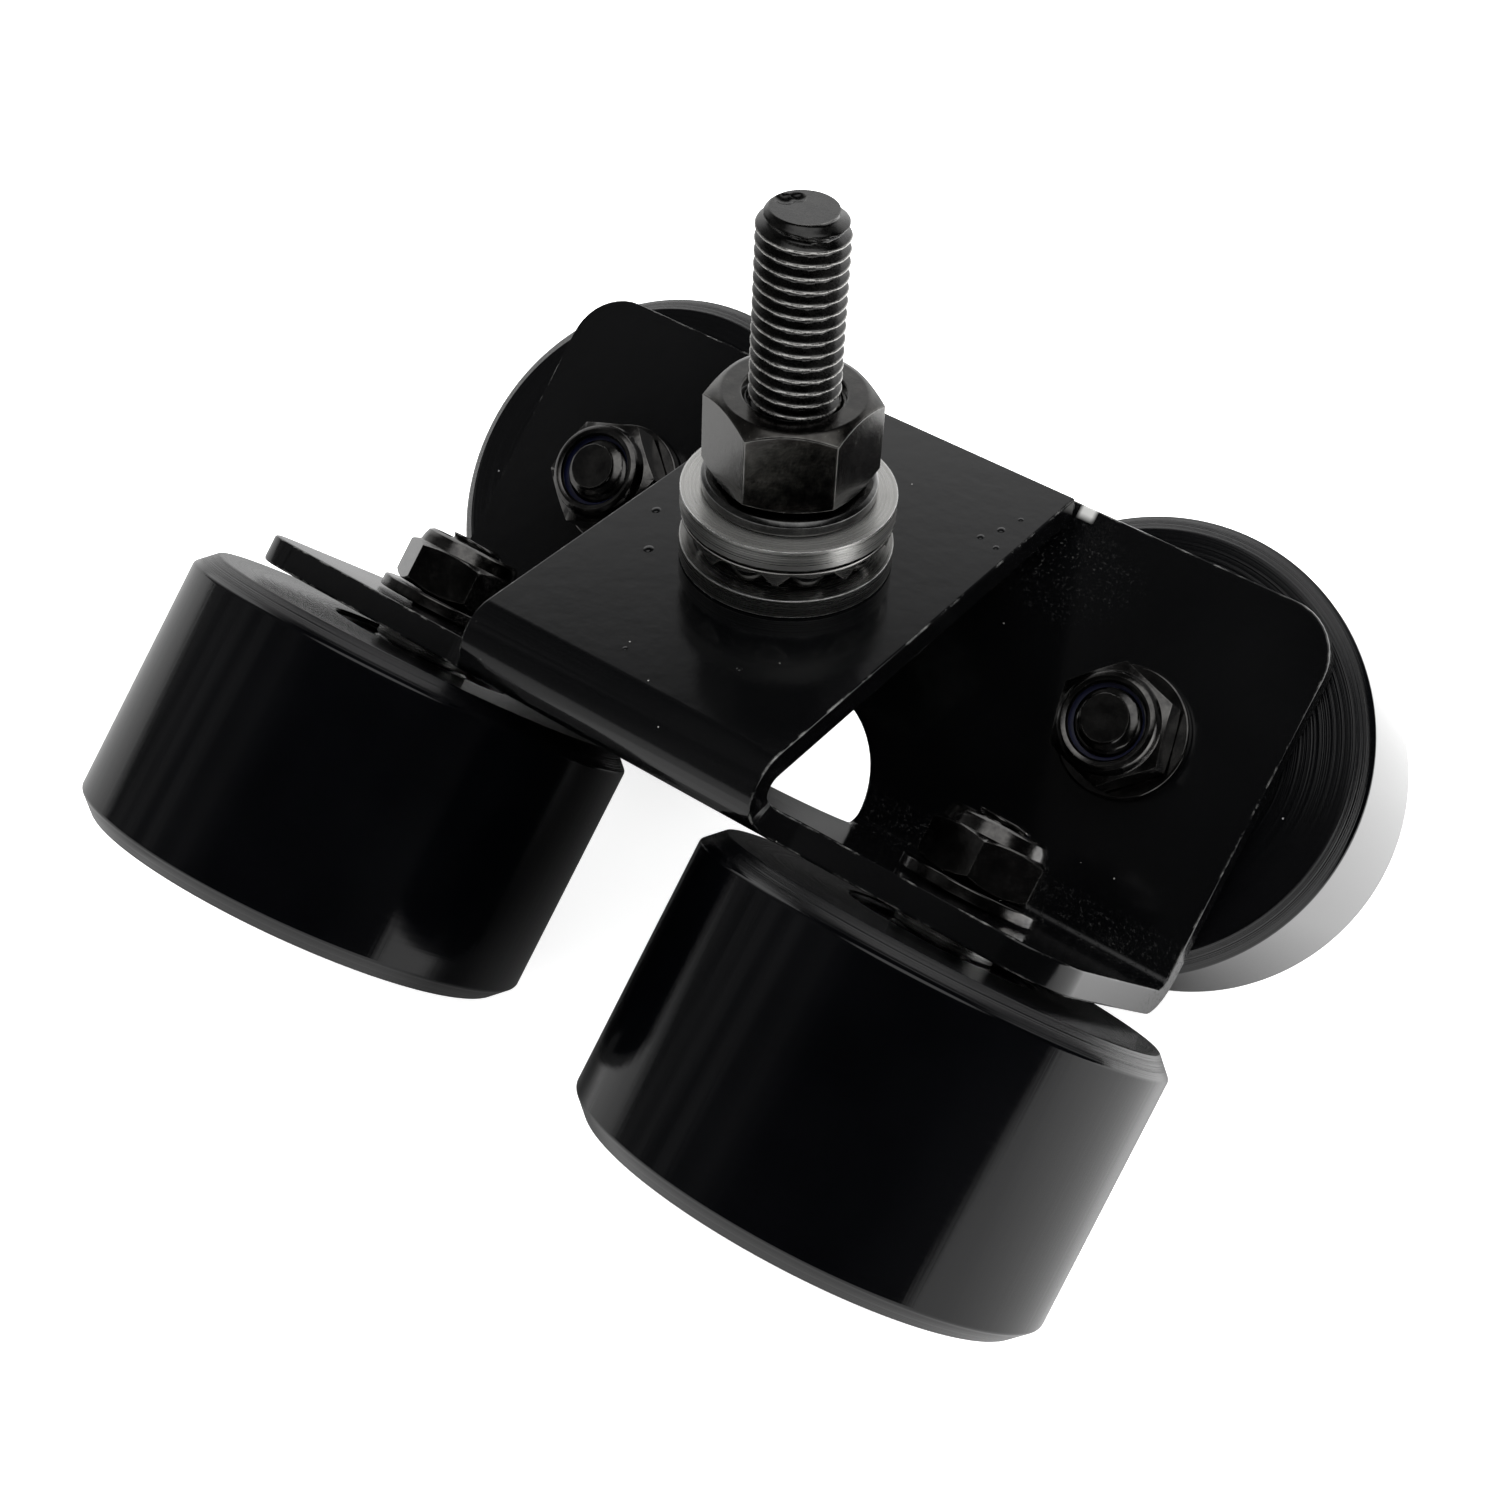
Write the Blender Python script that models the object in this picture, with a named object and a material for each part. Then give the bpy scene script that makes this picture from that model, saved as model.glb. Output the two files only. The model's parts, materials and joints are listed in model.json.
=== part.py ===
"""Sliding door roller: a folded steel bracket on four angled wheels, with a threaded swivel stud
standing on a ball thrust bearing. Metres, +Z up, the wheels stand on Z = 0."""

from math import cos, pi, radians, sin, sqrt, tan

import bmesh
import bpy
from mathutils import Matrix, Vector

MM = 0.001

# ---------------------------------------------------------------- driving dimensions (metres)
GAP = 0.3 * MM                 # air left between neighbouring pieces

# folded bracket
SHEET = 3.2 * MM               # sheet thickness
FLANGE_ANGLE = radians(45)     # flange slope from the horizontal
PLATE_HALF = 19.8 * MM         # half length of the top plate along X
WING_HALF = 55.6 * MM          # half length of the flanges along X
CORNER_HALF = 39.6 * MM        # Y of the sharp corner where plate top meets flange outside
PLATE_BACK = 31.0 * MM         # Y of the plate's back edge
BEND_OUT = 5.0 * MM            # outside radius of both bends
NOTCH_FILLET = 4.0 * MM        # fillet where the plate runs out into the wings
WING_CORNER = 7.0 * MM         # rounding of the wing corners
WING_TOP_FRONT = 12.5 * MM     # from the sharp corner down the front flange to its top edge
WING_TOP_BACK = 6.0 * MM       # the same on the back flange
ACCESS_RADIUS = 12.2 * MM      # opening through the V for the stud's head
ACCESS_DOWN = 51.4 * MM        # centre of that opening, measured down the flange

# wheels and axles
WHEEL_X = 37.6 * MM            # axle position along X
WHEEL_DOWN = 28.4 * MM         # axle position down the flange from the sharp corner
WHEEL_RADIUS = 28.0 * MM
WHEEL_WIDTH = 33.2 * MM
WHEEL_STANDOFF = 1.7 * MM      # flange outside to wheel face
WHEEL_CHAMFER = 2.1 * MM
AXLE_RADIUS = 4.0 * MM
AXLE_HEAD = 5.3 * MM
AXLE_AF = 13.0 * MM            # across flats of the bolt head and lock nut
AXLE_END = 9.7 * MM            # from the flange inside to the end of the bolt
BEARING_RADIUS = 11.0 * MM
BEARING_WIDTH = 7.0 * MM
BEARING_INSET = 0.5 * MM       # inner bearing's face below the wheel's inner face
OUTER_INSET = 2.6 * MM         # outer bearing sits deeper, so the bolt head is half sunk in the wheel
BEARING_BALL = 1.9 * MM
BEARING_PITCH = 7.75 * MM
BEARING_BALLS = 7
RING_INNER = 6.05 * MM         # outside of the inner ring
RING_OUTER = 9.45 * MM         # inside of the outer ring
SPACER_RADIUS = 5.9 * MM
NUT_WASHER_RADIUS = 8.05 * MM
NUT_WASHER_THICK = 1.4 * MM

# swivel stud and its stack, heights above the plate
STUD_RADIUS = 5.0 * MM
STUD_TOP = 43.0 * MM
STUD_HEAD = 6.4 * MM
STUD_AF = 17.0 * MM
RACE_RADIUS = 12.05 * MM
RACE_LOWER = (0.25 * MM, 2.5 * MM)
RACE_UPPER = (6.6 * MM, 9.1 * MM)
CAGE_RIM = (5.6 * MM, 6.2 * MM)
THRUST_BALL = 2.2 * MM
THRUST_PITCH = 8.6 * MM
THRUST_BALLS = 9
WASHER_RADIUS = 9.8 * MM
WASHER = (9.4 * MM, 11.1 * MM)
NUT = (11.4 * MM, 21.5 * MM)
NUT_TURN = radians(34.5)       # rotation of the nut about the stud

# heights follow from the wheels standing on their outer chamfers
PLATE_Z = (WHEEL_DOWN + WHEEL_STANDOFF + WHEEL_WIDTH - WHEEL_CHAMFER + WHEEL_RADIUS) * sin(FLANGE_ANGLE)

NAME = "sliding_door_roller"
WHEELS = (("front_left", -1, -1), ("front_right", 1, -1), ("back_left", -1, 1), ("back_right", 1, 1))


# ---------------------------------------------------------------- scene helpers
def clear_scene():
    for obj in list(bpy.data.objects):
        bpy.data.objects.remove(obj, do_unlink=True)


def principled(name, colour, roughness, metallic):
    material = bpy.data.materials.new(name)
    material.use_nodes = True
    shader = material.node_tree.nodes["Principled BSDF"]
    shader.inputs["Base Color"].default_value = (*colour, 1.0)
    shader.inputs["Roughness"].default_value = roughness
    shader.inputs["Metallic"].default_value = metallic
    material.diffuse_color = (*colour, 1.0)
    return material


FINISHES = {
    "black_paint": ((0.022, 0.023, 0.025), 0.3, 0.0),
    "black_oxide": ((0.10, 0.10, 0.10), 0.35, 1.0),
    "black_zinc": ((0.045, 0.045, 0.05), 0.25, 0.8),
    "bright_steel": ((0.55, 0.55, 0.54), 0.25, 1.0),
    "cage_steel": ((0.42, 0.42, 0.40), 0.35, 1.0),
    "black_plastic": ((0.02, 0.021, 0.023), 0.18, 0.0),
    "blue_nylon": ((0.03, 0.06, 0.25), 0.45, 0.0),
}


def finish(bm, name, material, matrix=Matrix()):
    """Turn a bmesh into a named object with its own material, placed by matrix."""
    bmesh.ops.recalc_face_normals(bm, faces=bm.faces)
    mesh = bpy.data.meshes.new(name)
    bm.to_mesh(mesh)
    bm.free()
    return place(mesh, name, material, matrix)


def place(mesh, name, material, matrix=Matrix()):
    obj = bpy.data.objects.new(name, mesh)
    parts.objects.link(obj)
    obj.matrix_world = matrix
    mesh.materials.clear()
    if material:
        mesh.materials.append(principled(name + "_" + material, *FINISHES[material]))
    return obj


def boolean(target, tool, operation):
    """Apply an exact Boolean of two objects and drop the tool."""
    modifier = target.modifiers.new("cut", "BOOLEAN")
    modifier.operation = operation
    modifier.solver = "EXACT"
    modifier.object = tool
    bpy.context.view_layer.update()
    graph = bpy.context.evaluated_depsgraph_get()
    target.modifiers[0].show_viewport = True
    mesh = bpy.data.meshes.new_from_object(target.evaluated_get(graph))
    target.modifiers.clear()
    target.data = mesh
    bpy.data.objects.remove(tool, do_unlink=True)
    return target


# ---------------------------------------------------------------- solid builders
def revolved(profile, segments):
    """Spin a closed (radius, height) loop about Z; points on the axis become poles."""
    bm = bmesh.new()
    verts = [bm.verts.new((r, 0.0, z)) for r, z in profile]
    edges = [bm.edges.new(pair) for pair in zip(verts, verts[1:] + verts[:1])
             if max(pair[0].co.x, pair[1].co.x) > 1e-9]
    bmesh.ops.spin(bm, geom=verts + edges, cent=(0, 0, 0), axis=(0, 0, 1), dvec=(0, 0, 0),
                   angle=2 * pi, steps=segments, use_merge=True)
    bmesh.ops.remove_doubles(bm, verts=bm.verts, dist=1e-7)
    return bm


def ring(inner, outer, low, high, segments, chamfer=0.0):
    """Flat ring with its outer edges chamfered."""
    c = chamfer
    profile = [(inner, high), (outer - c, high), (outer, high - c), (outer, low + c), (outer - c, low),
               (inner, low)]
    if not c:
        profile = [(inner, high), (outer, high), (outer, low), (inner, low)]
    return revolved(profile, segments)


def prism(outline, low, high):
    """Extrude a flat outline of (x, y) points from z = low to z = high."""
    bm = bmesh.new()
    verts = [bm.verts.new((x, y, low)) for x, y in outline]
    edges = [bm.edges.new(pair) for pair in zip(verts, verts[1:] + verts[:1])]
    face = bmesh.ops.contextual_create(bm, geom=edges)["faces"]
    grown = bmesh.ops.extrude_face_region(bm, geom=face)["geom"]
    bmesh.ops.translate(bm, verts=[g for g in grown if isinstance(g, bmesh.types.BMVert)],
                        vec=(0, 0, high - low))
    bmesh.ops.recalc_face_normals(bm, faces=bm.faces)
    return bm


def hexagon(flats, low, high, turn=0.0):
    reach = flats / sqrt(3)
    return prism([(reach * cos(turn + k * pi / 3), reach * sin(turn + k * pi / 3)) for k in range(6)],
                 low, high)


def hex_body(name, material, flats, low, high, profile, segments, turn=0.0, matrix=Matrix()):
    """A hexagon trimmed by a revolved profile: the rounded-off ends of a nut or bolt head."""
    body = finish(revolved(profile, segments), name, material, matrix)
    tool = finish(hexagon(flats, low, high, turn), name + "_hexagon", None, matrix)
    return boolean(body, tool, "INTERSECT")


def balls_on_circle(bm, count, pitch, radius, height, around, rows):
    for k in range(count):
        angle = 2 * pi * k / count
        spot = Matrix.Translation((pitch * cos(angle), pitch * sin(angle), height))
        bmesh.ops.create_uvsphere(bm, u_segments=around, v_segments=rows, radius=radius, matrix=spot)


# ---------------------------------------------------------------- bracket
def arc(cx, cy, radius, start, end, steps):
    return [(cx + radius * cos(start + (end - start) * k / steps),
             cy + radius * sin(start + (end - start) * k / steps)) for k in range(steps + 1)]


def fold_stations(strips):
    """Developed positions and folded poses (origin, along, normal) along the outside surface,
    from the back edge of the plate, round the front bend, through the V, up the back flange."""
    slant = CORNER_HALF / cos(FLANGE_ANGLE)
    front_turn = pi - FLANGE_ANGLE
    vee_turn = pi - 2 * FLANGE_ANGLE
    front_tangent = BEND_OUT * tan(front_turn / 2)
    vee_tangent = BEND_OUT * tan(vee_turn / 2)
    neutral = BEND_OUT - SHEET / 2
    runs = ((PLATE_BACK + CORNER_HALF - front_tangent, 0.0), (None, front_turn),
            (slant - front_tangent - vee_tangent, 0.0), (None, vee_turn),
            (slant - vee_tangent - WING_TOP_BACK, 0.0))
    here = Vector((PLATE_BACK, PLATE_Z))
    heading, flat, stations, marks = pi, 0.0, [], [0.0]
    stations.append((flat, here.copy(), heading))
    for length, turn in runs:
        if turn:
            for _ in range(strips):
                step = turn / strips
                chord = 2 * BEND_OUT * sin(step / 2)
                here += chord * Vector((cos(heading + step / 2), sin(heading + step / 2)))
                heading += step
                flat += neutral * step
                stations.append((flat, here.copy(), heading))
        else:
            here += length * Vector((cos(heading), sin(heading)))
            flat += length
            stations.append((flat, here.copy(), heading))
        marks.append(flat)
    return stations, marks


def flat_outline(marks):
    """Cut shape of the sheet before folding, in (x, developed length)."""
    slant = CORNER_HALF / cos(FLANGE_ANGLE)
    top = marks[3] - (slant - BEND_OUT * tan(pi / 2 - FLANGE_ANGLE) - WING_TOP_FRONT)
    end = marks[5]
    f, c, steps = NOTCH_FILLET, WING_CORNER, 6
    right = [(PLATE_HALF, 0.0)]
    right += arc(PLATE_HALF + f, top - f, f, pi, pi / 2, steps)
    right += arc(WING_HALF - c, top + c, c, -pi / 2, 0, steps)
    right += arc(WING_HALF - c, end - c, c, 0, pi / 2, steps)
    return right + [(-x, u) for x, u in reversed(right)]


def fold(bm, stations):
    """Carry the flat sheet round the bends, strip by strip."""
    for flat, _, _ in stations[1:-1]:
        bmesh.ops.bisect_plane(bm, geom=bm.verts[:] + bm.edges[:] + bm.faces[:], dist=1e-7,
                               plane_co=(0, flat, 0), plane_no=(0, 1, 0))
    bmesh.ops.triangulate(bm, faces=bm.faces)

    def posed(station, depth):
        _, spot, heading = station
        return Vector((0, spot.x, spot.y)) + depth * Vector((0, -sin(heading), cos(heading)))

    for vert in bm.verts:
        x, u, depth = vert.co
        k = max(i for i in range(len(stations) - 1) if u >= stations[i][0] - 1e-6)
        a, b = stations[k], stations[k + 1]
        t = (u - a[0]) / (b[0] - a[0])
        vert.co = posed(a, depth).lerp(posed(b, depth), t) + Vector((x, 0, 0))


def flange_matrix(side_x, side_y):
    """Frame on the flange outside, Z pointing out along the wheel axle, origin at the axle."""
    along = Vector((0, -side_y * cos(FLANGE_ANGLE), -sin(FLANGE_ANGLE)))
    out = Vector((0, side_y * sin(FLANGE_ANGLE), -cos(FLANGE_ANGLE)))
    origin = Vector((side_x * WHEEL_X, side_y * CORNER_HALF, PLATE_Z)) + WHEEL_DOWN * along
    across = along.cross(out)
    matrix = Matrix((across, along, out)).transposed().to_4x4()
    matrix.translation = origin
    return matrix


def make_bracket():
    stations, marks = fold_stations(strips=6)
    sheet = finish(prism(flat_outline(marks), 0.0, SHEET), "bracket", "black_paint")
    slant = CORNER_HALF / cos(FLANGE_ANGLE)
    front_axle = marks[3] - (slant - BEND_OUT * tan(pi / 2 - FLANGE_ANGLE) - WHEEL_DOWN)
    back_axle = marks[5] - (WHEEL_DOWN - WING_TOP_BACK)
    holes = [(0.0, PLATE_BACK, STUD_RADIUS + GAP)]
    holes += [(side * WHEEL_X, u, AXLE_RADIUS + GAP) for side in (-1, 1) for u in (front_axle, back_axle)]
    for x, u, radius in holes:
        drill = finish(ring_solid(radius, -SHEET, 2 * SHEET, 24), "drill", None, Matrix.Translation((x, u, 0)))
        boolean(sheet, drill, "DIFFERENCE")
    bm = bmesh.new()
    bm.from_mesh(sheet.data)
    fold(bm, stations)
    bmesh.ops.recalc_face_normals(bm, faces=bm.faces)
    bm.to_mesh(sheet.data)
    bm.free()

    for side_y in (-1, 1):
        frame = flange_matrix(0, side_y) @ Matrix.Translation((0, ACCESS_DOWN - WHEEL_DOWN, 0))
        cutter = finish(ring_solid(ACCESS_RADIUS, -SHEET - 1.5 * MM, 8 * MM, 40), "access", None, frame)
        boolean(sheet, cutter, "DIFFERENCE")

    # weld filling the corner between the plate's back edge and the back flange
    rise = sqrt(0.5)
    foot = CORNER_HALF - (WING_TOP_BACK + SHEET) * rise
    weld = [(PLATE_BACK - 1.2 * MM, PLATE_Z - SHEET + 0.6 * MM), (PLATE_BACK - 0.4 * MM, PLATE_Z - 0.25 * MM),
            (foot + 0.5 * MM, PLATE_Z - (WING_TOP_BACK - SHEET) * rise - 0.5 * MM),
            (foot + 0.3 * MM, PLATE_Z - 4.4 * MM), (foot - 4.2 * MM, PLATE_Z - 5.6 * MM),
            (PLATE_BACK - 3.4 * MM, PLATE_Z - SHEET + 0.4 * MM)]
    bead = prism(weld, -PLATE_HALF + 0.4 * MM, PLATE_HALF - 0.4 * MM)
    upright = Matrix(((0, 0, 1, 0), (1, 0, 0, 0), (0, 1, 0, 0), (0, 0, 0, 1)))
    bmesh.ops.transform(bead, matrix=upright, verts=bead.verts)
    boolean(sheet, finish(bead, "weld", None), "UNION")
    sheet.data.name = "bracket"
    return sheet


def ring_solid(radius, low, high, segments):
    return revolved([(0, high), (radius, high), (radius, low), (0, low)], segments)


# ---------------------------------------------------------------- wheel station
def wheel_profile():
    near, far = WHEEL_STANDOFF, WHEEL_STANDOFF + WHEEL_WIDTH
    c, pocket = WHEEL_CHAMFER, BEARING_RADIUS + GAP
    seat = BEARING_WIDTH + GAP
    depth_in, depth_out = BEARING_INSET + seat, OUTER_INSET + seat
    bore = RING_OUTER
    return [(pocket, far), (WHEEL_RADIUS - c, far), (WHEEL_RADIUS, far - c), (WHEEL_RADIUS, near + c),
            (WHEEL_RADIUS - c, near), (pocket, near), (pocket, near + depth_in), (bore, near + depth_in),
            (bore, far - depth_out), (pocket, far - depth_out)]


def bearing_levels():
    """Low faces of the inner and outer bearing of a wheel, measured out from the flange."""
    low = WHEEL_STANDOFF + BEARING_INSET
    return (("inner", low), ("outer", WHEEL_STANDOFF + WHEEL_WIDTH - OUTER_INSET - BEARING_WIDTH))


def bearing_rings(low):
    """Closed profiles of the outer ring with its two shields, and of the grooved inner ring."""
    high, shield, lip = low + BEARING_WIDTH, 0.9 * MM, 1.5 * MM
    shoulder = BEARING_PITCH + BEARING_BALL + GAP
    outer = [(RING_OUTER - lip, high - 0.3 * MM), (BEARING_RADIUS, high), (BEARING_RADIUS, low),
             (RING_OUTER - lip, low + 0.3 * MM), (RING_OUTER - lip, low + shield),
             (shoulder, low + shield), (shoulder, high - shield), (RING_OUTER - lip, high - shield)]
    groove = BEARING_PITCH - BEARING_BALL - GAP
    inner = [(AXLE_RADIUS + GAP, high), (RING_INNER, high), (groove, low + BEARING_WIDTH / 2),
             (RING_INNER, low), (AXLE_RADIUS + GAP, low)]
    return outer, inner


def make_ball_set(name, low, matrix):
    """Balls of a deep groove bearing held in one ribbon cage."""
    mid = low + BEARING_WIDTH / 2
    half = 0.8 * MM
    ribbon = revolved([(BEARING_PITCH - 0.45 * MM, mid + half), (BEARING_PITCH + 0.45 * MM, mid + half),
                       (BEARING_PITCH + 0.45 * MM, mid - half), (BEARING_PITCH - 0.45 * MM, mid - half)], 14)
    cage = finish(ribbon, name, "cage_steel", matrix)
    balls = bmesh.new()
    balls_on_circle(balls, BEARING_BALLS, BEARING_PITCH, BEARING_BALL, mid, 6, 4)
    return boolean(cage, finish(balls, name + "_balls", None, matrix), "UNION")


def make_wheel(name, side_x, side_y):
    frame = flange_matrix(side_x, side_y)
    finish(revolved(wheel_profile(), 44), "wheel_" + name, "black_plastic", frame)
    for which, low in bearing_levels():
        outer, inner = bearing_rings(low)
        finish(revolved(outer, 20), f"{which}_bearing_outer_ring_{name}", "bright_steel", frame)
        finish(revolved(inner, 16), f"{which}_bearing_inner_ring_{name}", "bright_steel", frame)
        make_ball_set(f"{which}_bearing_ball_cage_{name}", low, frame)

    (_, low_in), (_, low_out) = bearing_levels()
    bore = AXLE_RADIUS + GAP
    finish(ring(bore, SPACER_RADIUS, GAP, low_in - GAP, 16), "standoff_bush_" + name, "black_zinc", frame)
    finish(ring(bore, SPACER_RADIUS, low_in + BEARING_WIDTH + GAP, low_out - GAP, 16),
           "bearing_spacer_" + name, "bright_steel", frame)

    # axle bolt, its head standing 3 mm out of the wheel
    head_low = low_out + BEARING_WIDTH + GAP
    head_high = head_low + AXLE_HEAD
    end = -SHEET - AXLE_END
    edge, c = AXLE_AF / sqrt(3), 0.9 * MM
    reach = edge + 0.5 * MM
    bolt = finish(revolved([(0, head_high), (AXLE_AF / 2 - 0.1 * MM, head_high), (edge, head_high - c),
                            (reach, head_high - c), (reach, head_low), (0, head_low)], 24),
                  "axle_bolt_" + name, "black_zinc", frame)
    boolean(bolt, finish(hexagon(AXLE_AF, head_low - 2 * MM, head_high + 2 * MM), "hexagon", None, frame),
            "INTERSECT")
    shank = revolved([(0, head_low + 1 * MM), (AXLE_RADIUS, head_low + 1 * MM), (AXLE_RADIUS, end + 1 * MM),
                      (AXLE_RADIUS - 1 * MM, end), (0, end)], 16)
    boolean(bolt, finish(shank, "shank", None, frame), "UNION")

    # washer and lock nut on the inside of the flange
    washer_top = -SHEET - GAP
    finish(ring(bore, NUT_WASHER_RADIUS, washer_top - NUT_WASHER_THICK, washer_top, 24, 0.2 * MM),
           "nut_washer_" + name, "black_zinc", frame)
    nut_top = washer_top - NUT_WASHER_THICK - GAP
    nut_end = end + 0.7 * MM
    collar, pocket, hex_end = 5.75 * MM, 5.3 * MM, nut_end + 2.0 * MM
    hex_body("lock_nut_" + name, "black_zinc", AXLE_AF, nut_end - 2 * MM, nut_top + 2 * MM,
             [(bore, nut_top), (AXLE_AF / 2, nut_top), (reach, nut_top - c), (reach, hex_end + c),
              (AXLE_AF / 2, hex_end), (collar, hex_end), (collar, nut_end + 0.5 * MM),
              (collar - 0.5 * MM, nut_end), (pocket - 0.1 * MM, nut_end), (pocket, nut_end + 0.4 * MM),
              (pocket, nut_end + 2.2 * MM), (bore, nut_end + 2.2 * MM)], 20, turn=0.3 * side_x, matrix=frame)
    finish(ring(bore - 0.05 * MM, pocket - 0.25 * MM, nut_end + 0.3 * MM, nut_end + 1.9 * MM, 16),
           "lock_insert_" + name, "blue_nylon", frame)


# ---------------------------------------------------------------- swivel stud
def race_profile(low, high, groove_top):
    """Thrust race with its ball groove on the top or the bottom face."""
    inner, outer, c = STUD_RADIUS + GAP, RACE_RADIUS, 0.3 * MM
    middle = (RACE_LOWER[1] + RACE_UPPER[0]) / 2
    radius = THRUST_BALL + GAP
    face = high if groove_top else low
    reach = sqrt(radius ** 2 - (face - middle) ** 2)
    side = -1 if groove_top else 1
    groove = []
    for k in range(4):
        across = reach * (k / 1.5 - 1)
        groove.append((THRUST_PITCH + across, middle + side * sqrt(radius ** 2 - across ** 2)))
    if groove_top:
        return [(inner, high), *groove, (outer - c, high), (outer, high - c), (outer, low + c),
                (outer - c, low), (inner, low)]
    return [(inner, high), (outer - c, high), (outer, high - c), (outer, low + c), (outer - c, low),
            *reversed(groove), (inner, low)]


def make_swivel():
    frame = Matrix.Translation((0, 0, PLATE_Z))
    finish(revolved(race_profile(*RACE_LOWER, True), 36), "thrust_race_lower", "bright_steel", frame)
    finish(revolved(race_profile(*RACE_UPPER, False), 36), "thrust_race_upper", "bright_steel", frame)

    rim = ring(STUD_RADIUS + 2 * GAP, RACE_RADIUS - 0.1 * MM, CAGE_RIM[0], CAGE_RIM[1], 36)
    cage = finish(rim, "thrust_ball_cage", "cage_steel", frame)
    balls = bmesh.new()
    middle = (RACE_LOWER[1] + RACE_UPPER[0]) / 2
    balls_on_circle(balls, THRUST_BALLS, THRUST_PITCH, THRUST_BALL, middle, 10, 6)
    boolean(cage, finish(balls, "balls", None, frame), "UNION")

    finish(ring(STUD_RADIUS + GAP, WASHER_RADIUS, *WASHER, 32, 0.3 * MM), "swivel_washer", "black_oxide",
           frame)

    low, high = NUT
    edge, bore, c = STUD_AF / sqrt(3), STUD_RADIUS + GAP, 1.0 * MM
    reach = edge + 0.5 * MM
    hex_body("swivel_nut", "black_oxide", STUD_AF, low - 2 * MM, high + 2 * MM,
             [(bore + 0.5 * MM, high), (7.9 * MM, high), (edge, high - c), (reach, high - c),
              (reach, low + c), (edge, low + c), (8.1 * MM, low), (bore + 0.4 * MM, low),
              (bore, low + 0.6 * MM), (bore, high - 0.8 * MM)], 36, turn=NUT_TURN, matrix=frame)

    top = -SHEET - GAP
    bolt = hex_body("swivel_stud", "black_oxide", STUD_AF, top - STUD_HEAD - 2 * MM, top + 2 * MM,
                    [(0, top), (reach, top), (reach, top - STUD_HEAD + c), (edge, top - STUD_HEAD + c),
                     (8.1 * MM, top - STUD_HEAD), (0, top - STUD_HEAD)], 36, matrix=frame)
    shank = revolved([(0, STUD_TOP), (STUD_RADIUS - 1.4 * MM, STUD_TOP), (STUD_RADIUS, STUD_TOP - 1.6 * MM),
                      (STUD_RADIUS, top - 1 * MM), (0, top - 1 * MM)], 24)
    boolean(bolt, finish(shank, "shank", None, frame), "UNION")


clear_scene()
parts = bpy.data.collections.new(NAME)
bpy.context.scene.collection.children.link(parts)
make_bracket()
make_swivel()
for wheel_name, side_x, side_y in WHEELS:
    make_wheel(wheel_name, side_x, side_y)
print("pieces", len(parts.objects))
for piece in parts.objects:
    print(piece.name, sum(len(f.vertices) - 2 for f in piece.data.polygons))
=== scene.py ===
# %% [markdown]
# # Sliding door roller
#
# A four-wheel trolley that carries a sliding door: one sheet of steel folded into a flat top and a V
# below it, a black wheel outside each wing of the V, and a threaded stud that swivels on a small
# thrust bearing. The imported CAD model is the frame: joints and boxes give the places, the profiles
# repeat the model's dimensions in millimetres, and each piece rides on the body that it belongs to.

# %% Load the frame
import json
from math import atan2, cos, pi, radians, sin, sqrt, tan

import bmesh
import bpy
from mathutils import Matrix, Vector


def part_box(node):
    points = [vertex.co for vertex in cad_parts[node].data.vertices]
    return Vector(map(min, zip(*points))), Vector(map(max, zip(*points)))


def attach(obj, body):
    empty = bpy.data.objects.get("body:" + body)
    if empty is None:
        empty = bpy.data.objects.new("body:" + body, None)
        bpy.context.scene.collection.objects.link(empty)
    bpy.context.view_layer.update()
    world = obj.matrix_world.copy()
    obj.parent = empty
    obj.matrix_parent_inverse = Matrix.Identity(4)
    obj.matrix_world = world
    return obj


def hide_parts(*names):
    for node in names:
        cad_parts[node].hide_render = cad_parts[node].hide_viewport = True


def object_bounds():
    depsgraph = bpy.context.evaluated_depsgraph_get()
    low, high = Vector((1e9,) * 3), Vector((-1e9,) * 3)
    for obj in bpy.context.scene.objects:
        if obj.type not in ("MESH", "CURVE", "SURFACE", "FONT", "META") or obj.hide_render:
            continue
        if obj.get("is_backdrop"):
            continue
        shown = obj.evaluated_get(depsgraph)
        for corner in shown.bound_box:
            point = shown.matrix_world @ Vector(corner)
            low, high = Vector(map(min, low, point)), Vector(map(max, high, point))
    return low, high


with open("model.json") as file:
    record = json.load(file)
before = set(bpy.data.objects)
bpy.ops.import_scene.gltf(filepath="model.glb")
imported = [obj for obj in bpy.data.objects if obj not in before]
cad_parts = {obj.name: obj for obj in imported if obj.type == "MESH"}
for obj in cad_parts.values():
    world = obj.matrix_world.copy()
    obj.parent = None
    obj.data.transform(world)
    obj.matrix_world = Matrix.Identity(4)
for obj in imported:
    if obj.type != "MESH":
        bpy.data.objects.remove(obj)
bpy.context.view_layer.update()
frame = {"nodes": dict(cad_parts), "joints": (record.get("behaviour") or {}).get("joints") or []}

MM = 0.001
joints = {joint["name"]: joint for joint in frame["joints"]}

# %% [markdown]
# Two kinds of place are needed. The stud stands on the Z axis, and its joint gives the height of the
# plate's top. Each wheel station gets a frame of its own, with Z running out along the axle from the
# outside of the flange, so that one set of profiles serves all four wheels.

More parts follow.
